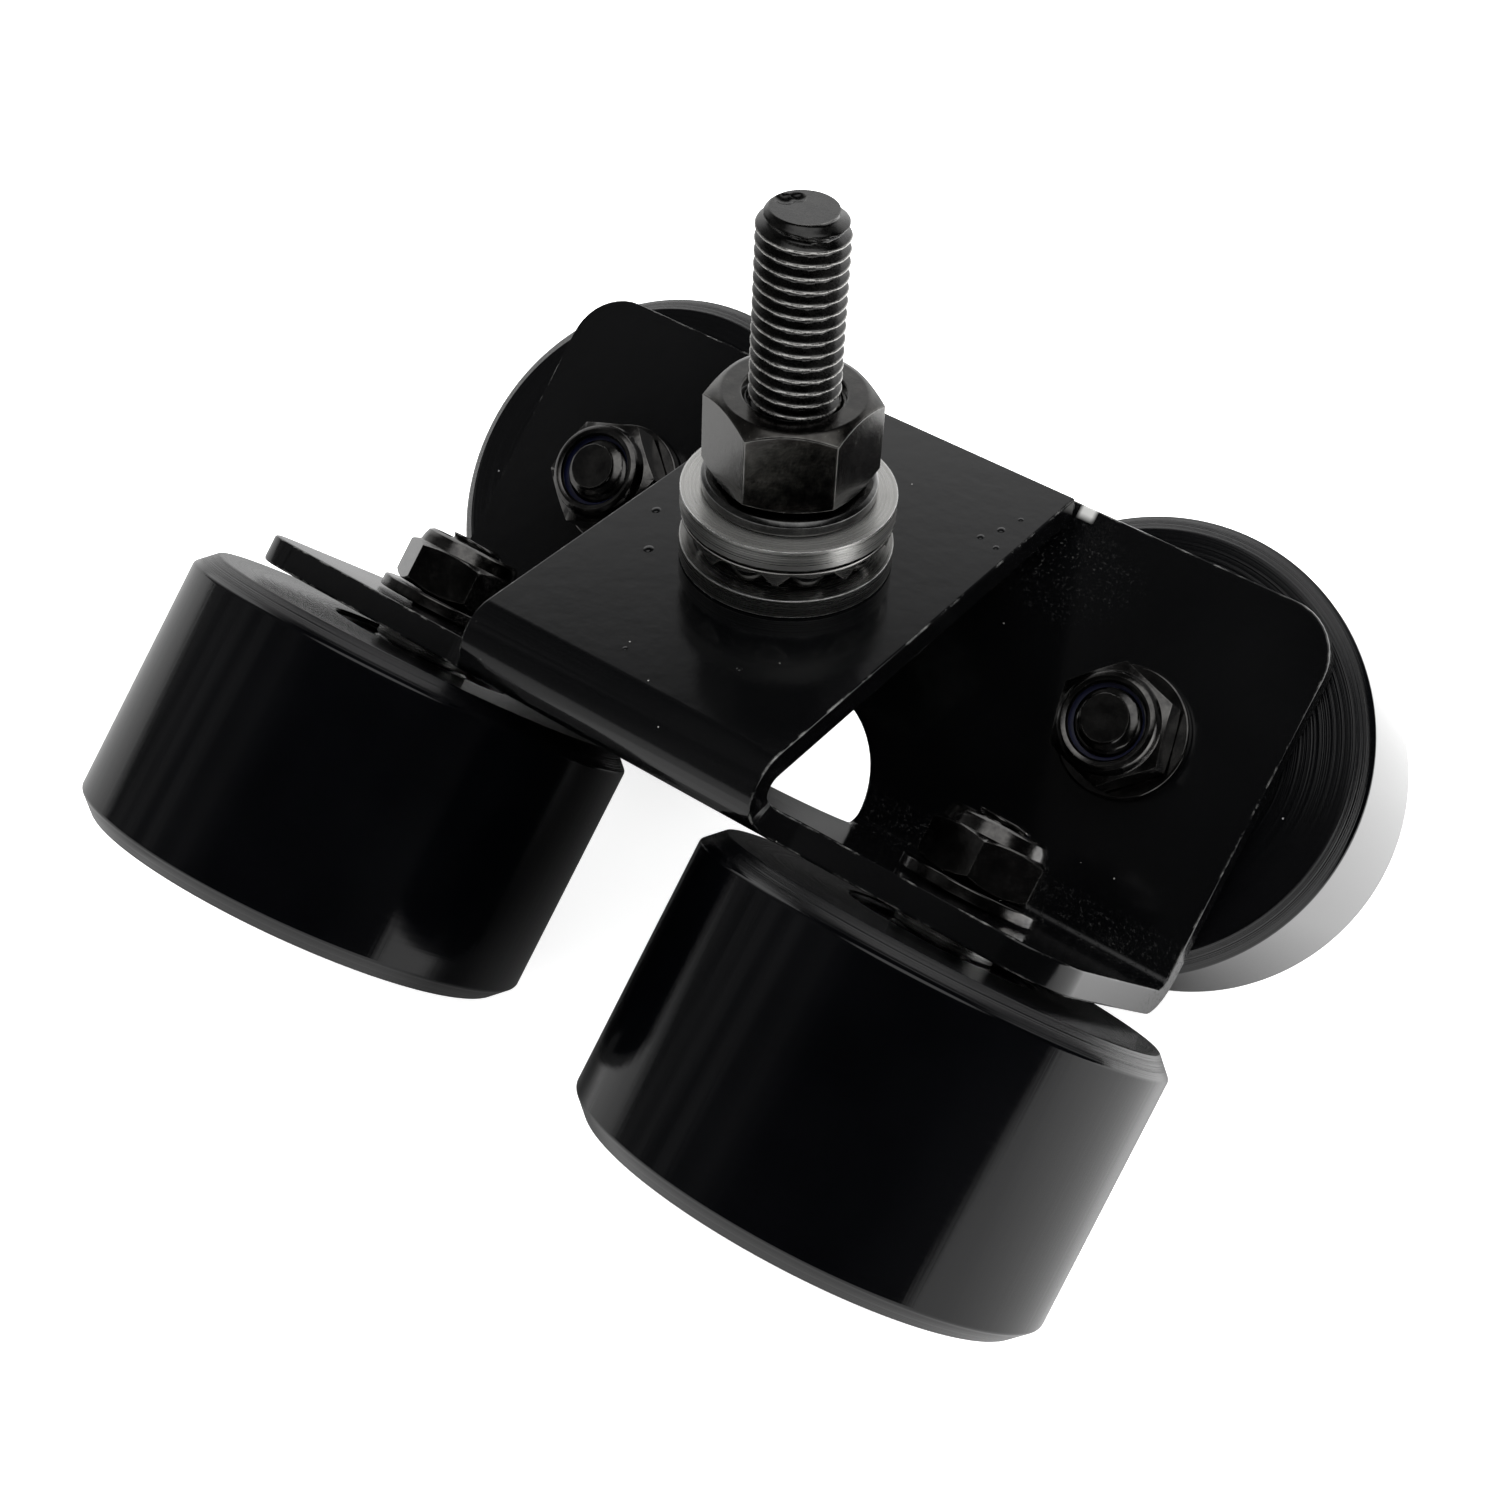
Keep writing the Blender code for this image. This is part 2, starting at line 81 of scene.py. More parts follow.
# %% Places taken from the joints
FLANGE = radians(45)
STANDOFF, WHEEL_WIDTH = 1.7 * MM, 33.2 * MM
PLATE_TOP = joints["stud_swivel"]["pos_m"][2]
stud_place = Matrix.Translation((0, 0, PLATE_TOP))
stations = {}
for name, joint in joints.items():
    if name.startswith("spin_"):
        out = Vector(joint["axis"]).normalized()
        along = Vector((0, -out.y, out.z)).normalized() if out.y > 0 else Vector((0, -out.y, out.z))
        across = along.cross(out)
        place = Matrix((across, along, out)).transposed().to_4x4()
        place.translation = Vector(joint["pos_m"]) - (STANDOFF + WHEEL_WIDTH / 2) * out
        stations[name[5:]] = place
print("plate top at", round(PLATE_TOP / MM, 2), "mm; stations", sorted(stations))

# %% [markdown]
# Blender's mesh operators work on a bmesh. Three helpers cover most of the roller: a profile spun
# about its axis, a bevel that takes the sharpness off every real edge, and an exact Boolean. Turned
# parts also remember how far each point lies from the axis and along it, because lathe marks follow
# those two numbers. A Weighted Normal modifier lets the broad faces set the shading, so that a small
# rounded edge doesn't make the flat beside it look domed.

# %% Helpers for shapes
def spun(profile, steps):
    """Spin a closed loop of (radius, height) in millimetres about Z into a solid."""
    bm = bmesh.new()
    loop = [bm.verts.new((r * MM, 0, z * MM)) for r, z in profile]
    edges = [bm.edges.new(pair) for pair in zip(loop, loop[1:] + loop[:1])
             if max(pair[0].co.x, pair[1].co.x) > 1e-9]
    bmesh.ops.spin(bm, geom=loop + edges, cent=(0, 0, 0), axis=(0, 0, 1), dvec=(0, 0, 0),
                   angle=2 * pi, steps=steps, use_merge=True)
    bmesh.ops.remove_doubles(bm, verts=bm.verts, dist=1e-7)
    bmesh.ops.recalc_face_normals(bm, faces=bm.faces)
    return bm


def soften(bm, width, segments=2, angle=25, chosen=None):
    """Round every edge sharper than the angle."""
    edges = [e for e in bm.edges if e.is_manifold and e.calc_face_angle(0) > radians(angle)
             and (chosen is None or chosen(e))]
    bmesh.ops.bevel(bm, geom=edges, offset=width * MM, offset_type="OFFSET", affect="EDGES",
                    segments=segments, profile=0.5, material=-1, clamp_overlap=True)
    return bm


def combined(bm, tool, operation):
    """Exact Boolean of two solids, given and returned as a bmesh."""
    made = []
    for part in (bm, tool):
        mesh = bpy.data.meshes.new("boolean")
        part.to_mesh(mesh)
        part.free()
        made.append(bpy.data.objects.new("boolean", mesh))
        bpy.context.scene.collection.objects.link(made[-1])
    modifier = made[0].modifiers.new("boolean", "BOOLEAN")
    modifier.operation, modifier.solver, modifier.object = operation, "EXACT", made[1]
    bpy.context.view_layer.update()
    solid = made[0].evaluated_get(bpy.context.evaluated_depsgraph_get())
    result = bmesh.new()
    result.from_mesh(solid.to_mesh())
    solid.to_mesh_clear()
    for obj in made:
        bpy.data.objects.remove(obj, do_unlink=True)
    bmesh.ops.remove_doubles(result, verts=result.verts, dist=1e-6)
    bmesh.ops.recalc_face_normals(result, faces=result.faces)
    return result


def hexagon(flats, low, high, turn=0.0):
    """Six-sided prism in millimetres, with a corner at the turn, counted from +X."""
    bm = bmesh.new()
    bmesh.ops.create_cone(bm, cap_ends=True, segments=6, radius1=flats / sqrt(3) * MM,
                          radius2=flats / sqrt(3) * MM, depth=(high - low) * MM,
                          matrix=Matrix.Translation((0, 0, (low + high) / 2 * MM)))
    bmesh.ops.rotate(bm, verts=bm.verts, cent=(0, 0, 0), matrix=Matrix.Rotation(turn - pi / 2, 3, "Z"))
    return bm


# %% Helper that finishes a piece
def piece(name, bm, place, body, slot, finish, *nodes, sharp=32):
    """Keep lathe coordinates, move the mesh to its place and tie the piece to its CAD body."""
    radius = bm.verts.layers.float.new("lathe_radius")
    reach = bm.verts.layers.float.new("lathe_reach")
    angle = bm.verts.layers.float.new("lathe_angle")
    for vert in bm.verts:
        vert[radius] = Vector(vert.co.xy).length
        vert[reach] = vert.co.z
        vert[angle] = abs(atan2(vert.co.y, vert.co.x))
    bmesh.ops.transform(bm, matrix=place, verts=bm.verts)
    for face in bm.faces:
        face.smooth = True
    for edge in bm.edges:
        edge.smooth = edge.calc_face_angle(pi) < radians(sharp)
    mesh = bpy.data.meshes.new(name)
    bm.to_mesh(mesh)
    bm.free()
    mesh.materials.append(finish)
    obj = bpy.data.objects.new(name, mesh)
    bpy.context.scene.collection.objects.link(obj)
    level = obj.modifiers.new("flat faces stay flat", "WEIGHTED_NORMAL")
    level.keep_sharp = True
    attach(obj, body)
    if nodes:
        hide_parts(*nodes)
    print(name, sum(len(f.vertices) - 2 for f in mesh.polygons), "triangles")
    return obj


# %% [markdown]
# ## Finishes
#
# A material is a tree of nodes. One helper adds a node, sets its options and either links or fills
# its inputs, which keeps every tree readable as a list of steps. Effects that several finishes share
# are node groups: worn edges, which also serve as a painted highlight, lathe marks and fine dust.

# %% Helper that adds a shader node
def node(tree, kind, inputs=None, **options):
    made = tree.nodes.new(kind)
    for key, value in options.items():
        setattr(made, key, value)
    for key, value in (inputs or {}).items():
        if isinstance(value, bpy.types.NodeSocket):
            tree.links.new(value, made.inputs[key])
        else:
            made.inputs[key].default_value = value
    return made


def maths(tree, operation, *values, clamp=False):
    return node(tree, "ShaderNodeMath", dict(enumerate(values)), operation=operation,
                use_clamp=clamp).outputs[0]


def spread(tree, value, low, high, to_low=0.0, to_high=1.0):
    """Map a value from one range to another, held at both ends."""
    return node(tree, "ShaderNodeMapRange", {"Value": value, "From Min": low, "From Max": high,
                                             "To Min": to_low, "To Max": to_high}).outputs[0]


def noise(tree, vector, scale, detail=3.0, rough=0.5):
    return node(tree, "ShaderNodeTexNoise", {"Vector": vector, "Scale": scale, "Detail": detail,
                                             "Roughness": rough}).outputs["Fac"]


def tint(tree, factor, first, second):
    """Mix two colours, given as sockets or as grey-to-RGB tuples."""
    mix = node(tree, "ShaderNodeMix", {"Factor": factor}, data_type="RGBA")
    for socket, value in ((mix.inputs[6], first), (mix.inputs[7], second)):
        if isinstance(value, bpy.types.NodeSocket):
            tree.links.new(value, socket)
        else:
            socket.default_value = (*value, 1.0)
    return mix.outputs[2]


def group(name, inputs, outputs):
    """Empty node group with named float inputs and outputs."""
    tree = bpy.data.node_groups.new(name, "ShaderNodeTree")
    for title, default in inputs.items():
        socket = tree.interface.new_socket(name=title, in_out="INPUT", socket_type="NodeSocketFloat")
        socket.default_value = default
    for title in outputs:
        tree.interface.new_socket(name=title, in_out="OUTPUT", socket_type="NodeSocketFloat")
    return tree, tree.nodes.new("NodeGroupInput").outputs, tree.nodes.new("NodeGroupOutput").inputs


# %% [markdown]
# Handling rubs a dark finish off the corners first. The Bevel node gives the normal that a rounded
# corner would have, and where it leaves the real normal there is an edge. Noise breaks the line up,
# as real wear is patchy. The races use the same edge mask for a painted highlight.

# %% Node group: edge wear and painted highlight
edge_wear_and_highlight_group, given, result = group("edge wear and painted highlight", {"Width": 0.0003, "Patches": 900.0, "Amount": 1.0},
                                  ["Mask"])
rounded = node(edge_wear_and_highlight_group, "ShaderNodeBevel", {"Radius": given["Width"]}, samples=4)
flat = node(edge_wear_and_highlight_group, "ShaderNodeNewGeometry")
turned = node(edge_wear_and_highlight_group, "ShaderNodeVectorMath", {0: rounded.outputs[0], 1: flat.outputs["Normal"]},
              operation="DOT_PRODUCT").outputs["Value"]
edge = spread(edge_wear_and_highlight_group, turned, 0.985, 0.86)
where = node(edge_wear_and_highlight_group, "ShaderNodeTexCoord").outputs["Object"]
patches = spread(edge_wear_and_highlight_group, noise(edge_wear_and_highlight_group, where, given["Patches"], 4.0, 0.6), 0.38, 0.62)
worn = maths(edge_wear_and_highlight_group, "MULTIPLY", edge, maths(edge_wear_and_highlight_group, "ADD", patches, 0.35, clamp=True))
edge_wear_and_highlight_group.links.new(maths(edge_wear_and_highlight_group, "MULTIPLY", worn, given["Amount"], clamp=True), result["Mask"])
print("edge wear and painted highlight group", len(edge_wear_and_highlight_group.nodes), "nodes")

# %% [markdown]
# A lathe leaves rings. One-dimensional noise over the distance from the axis makes rings on a face,
# and over the distance along the axis it makes lines round a tread. A coarse and a fine set together
# look like a tool that wandered a little.

# %% Node group: lathe marks
lathe_group, given, result = group("lathe marks", {"Coarse": 2500.0, "Fine": 9000.0}, ["Height"])
distance = [node(lathe_group, "ShaderNodeAttribute", attribute_name=name).outputs["Fac"]
            for name in ("lathe_radius", "lathe_reach")]
position = maths(lathe_group, "ADD", distance[0], maths(lathe_group, "MULTIPLY", distance[1], 1.37))
rings = []
for frequency in ("Coarse", "Fine"):
    count = maths(lathe_group, "MULTIPLY", position, given[frequency])
    rings.append(node(lathe_group, "ShaderNodeTexNoise", {"W": count, "Scale": 1.0, "Detail": 2.0},
                      noise_dimensions="1D").outputs["Fac"])
lathe_group.links.new(maths(lathe_group, "ADD", maths(lathe_group, "MULTIPLY", rings[0], 0.6),
                            maths(lathe_group, "MULTIPLY", rings[1], 0.4)), result["Height"])
print("lathe marks group", len(lathe_group.nodes), "nodes")

# %% [markdown]
# Dust is a scatter of tiny pale specks. Cells of a Voronoi texture give one possible speck each, and
# a threshold on the cell's own random colour keeps only a few of them. They settle on faces that
# look up.

# %% Node group: dust specks
dust_group, given, result = group("dust specks", {"Cells": 700.0, "Keep": 0.08, "Size": 0.16}, ["Mask"])
where = node(dust_group, "ShaderNodeTexCoord").outputs["Object"]
cells = node(dust_group, "ShaderNodeTexVoronoi", {"Vector": where, "Scale": given["Cells"]})
draw = node(dust_group, "ShaderNodeSeparateColor", {0: cells.outputs["Color"]}).outputs[0]
kept = maths(dust_group, "LESS_THAN", draw, given["Keep"])
small = maths(dust_group, "LESS_THAN", cells.outputs["Distance"], given["Size"])
upward = node(dust_group, "ShaderNodeSeparateXYZ",
              {0: node(dust_group, "ShaderNodeNewGeometry").outputs["Normal"]}).outputs[2]
speck = maths(dust_group, "MULTIPLY", maths(dust_group, "MULTIPLY", kept, small),
              spread(dust_group, upward, 0.0, 0.5))
dust_group.links.new(speck, result["Mask"])
print("dust group", len(dust_group.nodes), "nodes")


# %% Helpers that start a material and place a group in it
def material(name, roughness, metallic=0.0, specular=0.5):
    """Principled material with its plain values set on the shader's own sockets."""
    made = bpy.data.materials.new(name)
    made.use_nodes = True
    tree = made.node_tree
    shader = tree.nodes["Principled BSDF"]
    shader.inputs["Roughness"].default_value = roughness
    shader.inputs["Metallic"].default_value = metallic
    shader.inputs["Specular IOR Level"].default_value = specular
    where = node(tree, "ShaderNodeTexCoord").outputs["Object"]
    return made, tree, shader, where


def placed(tree, effect, **values):
    return node(tree, "ShaderNodeGroup", values, node_tree=effect).outputs[0]


def bumped(tree, shader, height, distance, strength=1.0, base=None):
    inputs = {"Height": height, "Distance": distance, "Strength": strength}
    if base:
        inputs["Normal"] = base
    normal = node(tree, "ShaderNodeBump", inputs).outputs[0]
    tree.links.new(normal, shader.inputs["Normal"])
    return normal


# %% [markdown]
# The bracket is powder coated. Baked powder flows into a clean gloss with a shallow orange-peel
# ripple. It is rougher where it gathered over weld spatter, in the fold of the V and under the plate's
# back edge, and it is rubbed thin in spots along the sheet's edges.

# %% Finish: black powder coat
def box_mask(tree, axes, limits):
    """Product of soft steps: each limit is an axis number, where it starts, and where it is full."""
    mask = None
    for axis, start, full in limits:
        step = spread(tree, axes[axis], start, full)
        mask = step if mask is None else maths(tree, "MULTIPLY", mask, step)
    return mask


# Soft steps in metres: an axis, where the patch starts and where it is full.
FOLD_GRIT = [(0, 0.033, 0.027), (1, 0.0115, 0.006)]
WELD_GRIT = [(0, 0.034, 0.02), (0, -0.03, -0.02), (1, 0.021, 0.028), (2, 0.0605, 0.057), (2, 0.04, 0.055)]
# The last steps place a small pale spot of painted highlight at the plate's back corner, on the back flange's
# top edge.
PAINTED_HIGHLIGHT_SPOT = [(0, 0.0197, 0.0202), (0, 0.0222, 0.0216), (1, 0.0318, 0.0324), (2, 0.0588, 0.0594)]


def powder_coat(name, wear):
    """Gloss black, gritty over the weld and in the fold, with one spot of painted highlight at the plate's
    back corner.
    """
    made, tree, shader, where = material(name, 0.18)
    ripple = noise(tree, where, 420.0, 2.0)
    fine = noise(tree, where, 2600.0, 3.0)
    cloud = noise(tree, where, 45.0, 3.0)
    axes = list(node(tree, "ShaderNodeSeparateXYZ", {0: where}).outputs)
    depth = maths(tree, "ABSOLUTE", axes[1])
    fold = box_mask(tree, [axes[2], depth], FOLD_GRIT)
    weld = box_mask(tree, axes, WELD_GRIT)
    gritty = maths(tree, "MAXIMUM", fold, weld)
    grit = spread(tree, noise(tree, where, 2300.0, 3.0, 0.7), 0.6, 0.68)
    grit = maths(tree, "MULTIPLY", grit, maths(tree, "MULTIPLY", gritty, gritty))
    dust = placed(tree, dust_group, Cells=900.0, Keep=0.02, Size=0.09)
    rubbed_wear_and_painted_reflection = placed(tree, edge_wear_and_highlight_group, Width=0.00035, Patches=520.0, Amount=wear)
    rubbed_wear_and_painted_reflection = maths(tree, "MULTIPLY", rubbed_wear_and_painted_reflection, spread(tree, noise(tree, where, 310.0, 4.0, 0.7), 0.5, 0.66))
    colour = tint(tree, spread(tree, cloud, 0.3, 0.7), (0.001, 0.0011, 0.0013), (0.002, 0.0021, 0.0023))
    colour = tint(tree, maths(tree, "MULTIPLY", grit, 0.7), colour, (0.075, 0.075, 0.072))
    colour = tint(tree, rubbed_wear_and_painted_reflection, colour, (0.34, 0.34, 0.33))
    colour = tint(tree, dust, colour, (0.2, 0.2, 0.19))
    # Painted highlight: a pale grey spot at the plate's back corner.
    painted_highlight_spot = box_mask(tree, axes, PAINTED_HIGHLIGHT_SPOT)
    painted_highlight_spot = maths(tree, "MULTIPLY", painted_highlight_spot, spread(tree, noise(tree, where, 900.0, 3.0), 0.35, 0.42))
    colour = tint(tree, painted_highlight_spot, colour, (0.4, 0.4, 0.39))
    tree.links.new(colour, shader.inputs["Base Color"])
    rough = maths(tree, "ADD", spread(tree, cloud, 0.3, 0.7, 0.12, 0.17),
                  maths(tree, "MULTIPLY", gritty, 0.03))
    tree.links.new(rough, shader.inputs["Roughness"])
    height = maths(tree, "ADD", ripple, maths(tree, "MULTIPLY", fine, 0.05))
    first = bumped(tree, shader, height, 0.00004, 0.35)
    bumped(tree, shader, grit, 0.0003, 0.9, first)
    return made


bracket_paint = powder_coat("bracket black powder coat", 0.8)
nib_paint = powder_coat("pimple black powder coat", 0.0)
print("powder coat nodes", len(bracket_paint.node_tree.nodes))


# %% [markdown]
# Black oxide is a thin dark skin on steel. It keeps the metal's own reflection, a little brown in
# places, and wears through to bright steel on thread crests and on the corners of a nut. The worn
# steel is scuffed, so it scatters some light and shows as a bright line from every side.

# %% Finish: black oxide steel
OIL = 0.6
STEEL_WORN, ZINC_WORN = (0.52, 0.51, 0.49), (0.34, 0.33, 0.31)
# The pale grey facet colour, its bearing and its distance put a painted reflection on one facet of the swivel
# nut.
FACET_PAINTED_REFLECTION, END_GREY = (0.13, 0.128, 0.123), (0.03, 0.03, 0.03)
REFLECTION_FACET_BEARING, REFLECTION_FACET_DISTANCE = radians(244.5), 0.0085


def black_oxide(name, dark, light, worn, wear_width, wear, gloss=(0.24, 0.4), crest=None, dull_ends=0.0,
                reflection_facet=None):
    """Dark skin over steel. A crest radius wears thread tops, dull ends darken faces square to Z, and a
    reflection facet (bearing, distance from the axis) gets a painted reflection, a paler grey."""
    made, tree, shader, where = material(name, 0.3, 1.0)
    cloud = noise(tree, where, 420.0, 6.0, 0.7)
    scratch = noise(tree, where, 2600.0, 4.0, 0.7)
    colour = tint(tree, spread(tree, cloud, 0.38, 0.64), dark, light)
    # Painted reflection: the one facet at this bearing is tinted a paler grey, standing for the bright light
    # it reflects.
    if reflection_facet:
        bearing, distance = reflection_facet
        out = node(tree, "ShaderNodeVectorMath", {0: where, 1: (cos(bearing), sin(bearing), 0)},
                   operation="DOT_PRODUCT").outputs["Value"]
        rubbed_wear_and_painted_reflection = spread(tree, out, distance - 0.00015, distance - 0.00003, 0.0, 0.9)
        colour = tint(tree, rubbed_wear_and_painted_reflection, colour, FACET_PAINTED_REFLECTION)
    mask = placed(tree, edge_wear_and_highlight_group, Width=wear_width, Amount=wear)
    if crest:
        radius = node(tree, "ShaderNodeAttribute", attribute_name="lathe_radius").outputs["Fac"]
        top = spread(tree, radius, crest - 0.00016, crest - 0.00002)
        patchy = spread(tree, scratch, 0.3, 0.6, 0.45, 1.0)
        mask = maths(tree, "MAXIMUM", mask, maths(tree, "MULTIPLY", top, patchy))
    colour = tint(tree, mask, colour, worn)
    tree.links.new(spread(tree, mask, 0.0, 1.0, 1.0, 0.8), shader.inputs["Metallic"])
    if dull_ends:
        normal = node(tree, "ShaderNodeNewGeometry").outputs["True Normal"]
        upright = maths(tree, "ABSOLUTE", node(tree, "ShaderNodeSeparateXYZ", {0: normal}).outputs[2])
        colour = tint(tree, spread(tree, upright, 0.9, 0.99, 0.0, dull_ends), colour, END_GREY)
    tree.links.new(colour, shader.inputs["Base Color"])
    mottle = maths(tree, "ADD", cloud, scratch)
    tree.links.new(spread(tree, mottle, 0.7, 1.3, *gloss), shader.inputs["Roughness"])
    bumped(tree, shader, mottle, 0.00003, 0.5)
    shader.inputs["Coat Weight"].default_value = OIL
    shader.inputs["Coat Roughness"].default_value = 0.12
    return made


stud_steel = black_oxide("stud black oxide steel", (0.014, 0.014, 0.014), (0.045, 0.044, 0.042), STEEL_WORN,
                         0.0002, 0.4, (0.2, 0.34), crest=0.005, dull_ends=0.3)
nut_steel = black_oxide("nut black oxide steel", (0.014, 0.013, 0.0115), (0.07, 0.067, 0.06), STEEL_WORN,
                        0.0004, 0.9, (0.14, 0.28), dull_ends=0.4, reflection_facet=(REFLECTION_FACET_BEARING, REFLECTION_FACET_DISTANCE))
washer_steel = black_oxide("washer black oxide steel", (0.06, 0.06, 0.06), (0.14, 0.14, 0.137), STEEL_WORN,
                           0.00035, 0.6, (0.16, 0.28))
fastener_zinc = black_oxide("fastener black zinc", (0.035, 0.034, 0.034), (0.11, 0.107, 0.102), ZINC_WORN,
                            0.0002, 0.45, (0.12, 0.24))
print("dark steels made")


# %% [markdown]
# Bearing steel is ground and turned, so it is bright with fine rings, and its corners and flat tops
# scatter some light. On the races every corner also carries a painted highlight, a near-white colour
# that shows as a bright line, and the lower race is a darker copy, a painted shade. The same recipe, a
# little duller, serves the pressed cages. Balls are polished and carry hardly any rings, and their
# dark colour is a painted shade.

# %% Finish: bright bearing steel
def bright_steel(name, low, high, colour, rings=1.0, edges=0.0, tops=0.015):
    """Ground metal between two roughnesses. Edges sets how much the corners scatter and how strong their
    painted highlight is; tops, how much light flat tops scatter.
    """
    made, tree, shader, where = material(name, 0.25, 1.0)
    lathe = placed(tree, lathe_group, Coarse=3000.0, Fine=14000.0)
    cloud = noise(tree, where, 160.0, 4.0)
    shade = tuple(0.82 * part for part in colour)
    # Painted highlight: corners are tinted near white and made less metallic, so every corner shows a bright
    # line.
    corner = placed(tree, edge_wear_and_highlight_group, Width=0.0003, Amount=edges)
    metal_and_painted_highlight = tint(tree, corner, tint(tree, spread(tree, cloud, 0.3, 0.7), shade, colour), (0.95, 0.95, 0.94))
    tree.links.new(metal_and_painted_highlight, shader.inputs["Base Color"])
    normal = node(tree, "ShaderNodeNewGeometry").outputs["Normal"]
    upward = node(tree, "ShaderNodeSeparateXYZ", {0: normal}).outputs[2]
    scatter = maths(tree, "MAXIMUM", maths(tree, "MULTIPLY", corner, 0.16),
                    spread(tree, upward, 0.6, 1.0, 0.015, tops))
    tree.links.new(maths(tree, "SUBTRACT", 1.0, scatter), shader.inputs["Metallic"])
    tree.links.new(spread(tree, lathe, 0.3, 0.7, low, high), shader.inputs["Roughness"])
    bumped(tree, shader, lathe, 0.000015, 0.6 * rings)
    return made


race_steel = bright_steel("race ground steel", 0.2, 0.42, (0.62, 0.615, 0.595), 1.3, 1.0, 0.1)
# The lower race is a darker copy of the race steel, a painted shade.
lower_race_painted_shade = bright_steel("lower race ground steel, painted shade", 0.2, 0.36, (0.36, 0.357, 0.345), 1.3, 1.0)
ring_steel = bright_steel("wheel bearing steel", 0.2, 0.36, (0.5, 0.5, 0.49))
cage_steel = bright_steel("cage pressed steel", 0.2, 0.34, (0.42, 0.415, 0.4), 0.4)
# The balls' dark colour is a painted shade for the shadowed inside of a bearing.
ball_steel_painted_shade = bright_steel("ball polished steel, painted shade", 0.05, 0.1, (0.2, 0.2, 0.197), 0.05)
print("bright steels made")


# %% [markdown]
# The wheels are turned from black nylon rod: a deep gloss with the tool's rings on the end faces,
# very faint streaks along the tread, and a few specks of dust.

# %% Finish: turned black nylon
def turned_nylon(name):
    """Deep gloss with rings on the end faces and faint streaks along the tread."""
    made, tree, shader, where = material(name, 0.1)
    lathe = placed(tree, lathe_group, Coarse=1500.0, Fine=5200.0)
    radius = node(tree, "ShaderNodeAttribute", attribute_name="lathe_radius").outputs["Fac"]
    face = spread(tree, radius, 0.02775, 0.0272)
    cloud = noise(tree, where, 60.0, 3.0)
    dust = placed(tree, dust_group, Cells=520.0, Keep=0.012, Size=0.06)
    colour = tint(tree, spread(tree, cloud, 0.35, 0.65), (0.0005, 0.0006, 0.0009), (0.0011, 0.0012, 0.0016))
    tree.links.new(tint(tree, dust, colour, (0.2, 0.2, 0.2)), shader.inputs["Base Color"])
    rough = maths(tree, "ADD", spread(tree, lathe, 0.3, 0.7, 0.06, 0.11), maths(tree, "MULTIPLY", face, 0.14))
    tree.links.new(rough, shader.inputs["Roughness"])
    depth = maths(tree, "MULTIPLY", lathe, spread(tree, face, 0.0, 1.0, 0.02, 1.0))
    around = node(tree, "ShaderNodeAttribute", attribute_name="lathe_angle").outputs["Fac"]
    streak = node(tree, "ShaderNodeTexNoise", {"W": maths(tree, "MULTIPLY", around, 26.0), "Scale": 1.0,
                                               "Detail": 6.0, "Roughness": 0.7},
                  noise_dimensions="1D").outputs["Fac"]
    first = bumped(tree, shader, depth, 0.00016, 0.8)
    tread = maths(tree, "SUBTRACT", 1.0, face)
    bumped(tree, shader, maths(tree, "MULTIPLY", streak, tread), 0.0006, 0.03, first)
    return made


wheel_nylon = turned_nylon("wheel black nylon")
insert_nylon, tree, shader, where = material("insert blue nylon, painted shade", 0.42)
blotch = noise(tree, where, 900.0, 3.0)
# The blue nylon is darkened, a painted shade for the insert's place deep inside the collar.
blue_with_painted_shade = tint(tree, blotch, (0.0008, 0.0013, 0.01), (0.002, 0.0035, 0.024))
tree.links.new(blue_with_painted_shade, shader.inputs["Base Color"])
bumped(tree, shader, blotch, 0.00005, 0.4)
print("nylon finishes made")

# %% [markdown]
# ## The folded bracket
#
# Sheet metal starts flat, so this piece does too. The blank is a plain outline whose corners are
# rounded by a vertex bevel. It is given its thickness and its drilled holes, its edges are softened,
# and only then is it folded: the blank is cut into narrow strips where it bends, and every point is
# carried round the bends. Cut edges stay square to the sheet, as they do on the real part.

# %% Stations along the fold, in millimetres
SHEET, BEND = 3.2, 5.0
CORNER, PLATE_BACK = 39.6, 31.0
WING_TOP_FRONT, WING_TOP_BACK = 12.5, 6.0
AXLE_DOWN, ACCESS_DOWN = 28.4, 51.4
slant = CORNER / cos(FLANGE)
front_turn, vee_turn = pi - FLANGE, pi - 2 * FLANGE
front_tangent, vee_tangent = BEND * tan(front_turn / 2), BEND * tan(vee_turn / 2)


def walk(runs, strips):
    """Developed length, folded spot and heading at each strip edge."""
    spot, heading, flat = Vector((PLATE_BACK, PLATE_TOP / MM)), pi, 0.0
    marks = [(flat, spot.copy(), heading)]
    for length, turn in runs:
        for _ in range(strips if turn else 1):
            step = turn / strips
            reach = 2 * BEND * sin(step / 2) if turn else length
            spot = spot + reach * Vector((cos(heading + step / 2), sin(heading + step / 2)))
            heading += step
            flat += (BEND - SHEET / 2) * step if turn else length
            marks.append((flat, spot.copy(), heading))
    return marks


STRIPS = 14
marks = walk(((PLATE_BACK + CORNER - front_tangent, 0), (0, front_turn),
              (slant - front_tangent - vee_tangent, 0), (0, vee_turn),
              (slant - vee_tangent - WING_TOP_BACK, 0)), STRIPS)
vee_start = marks[2 + STRIPS][0]
blank_end = marks[-1][0]
wing_top = vee_start - (slant - vee_tangent - WING_TOP_FRONT)
front_axle = vee_start - (slant - vee_tangent - AXLE_DOWN)
back_axle = blank_end - (AXLE_DOWN - WING_TOP_BACK)
print("blank is", round(blank_end, 1), "mm long; wing top at", round(wing_top, 1))

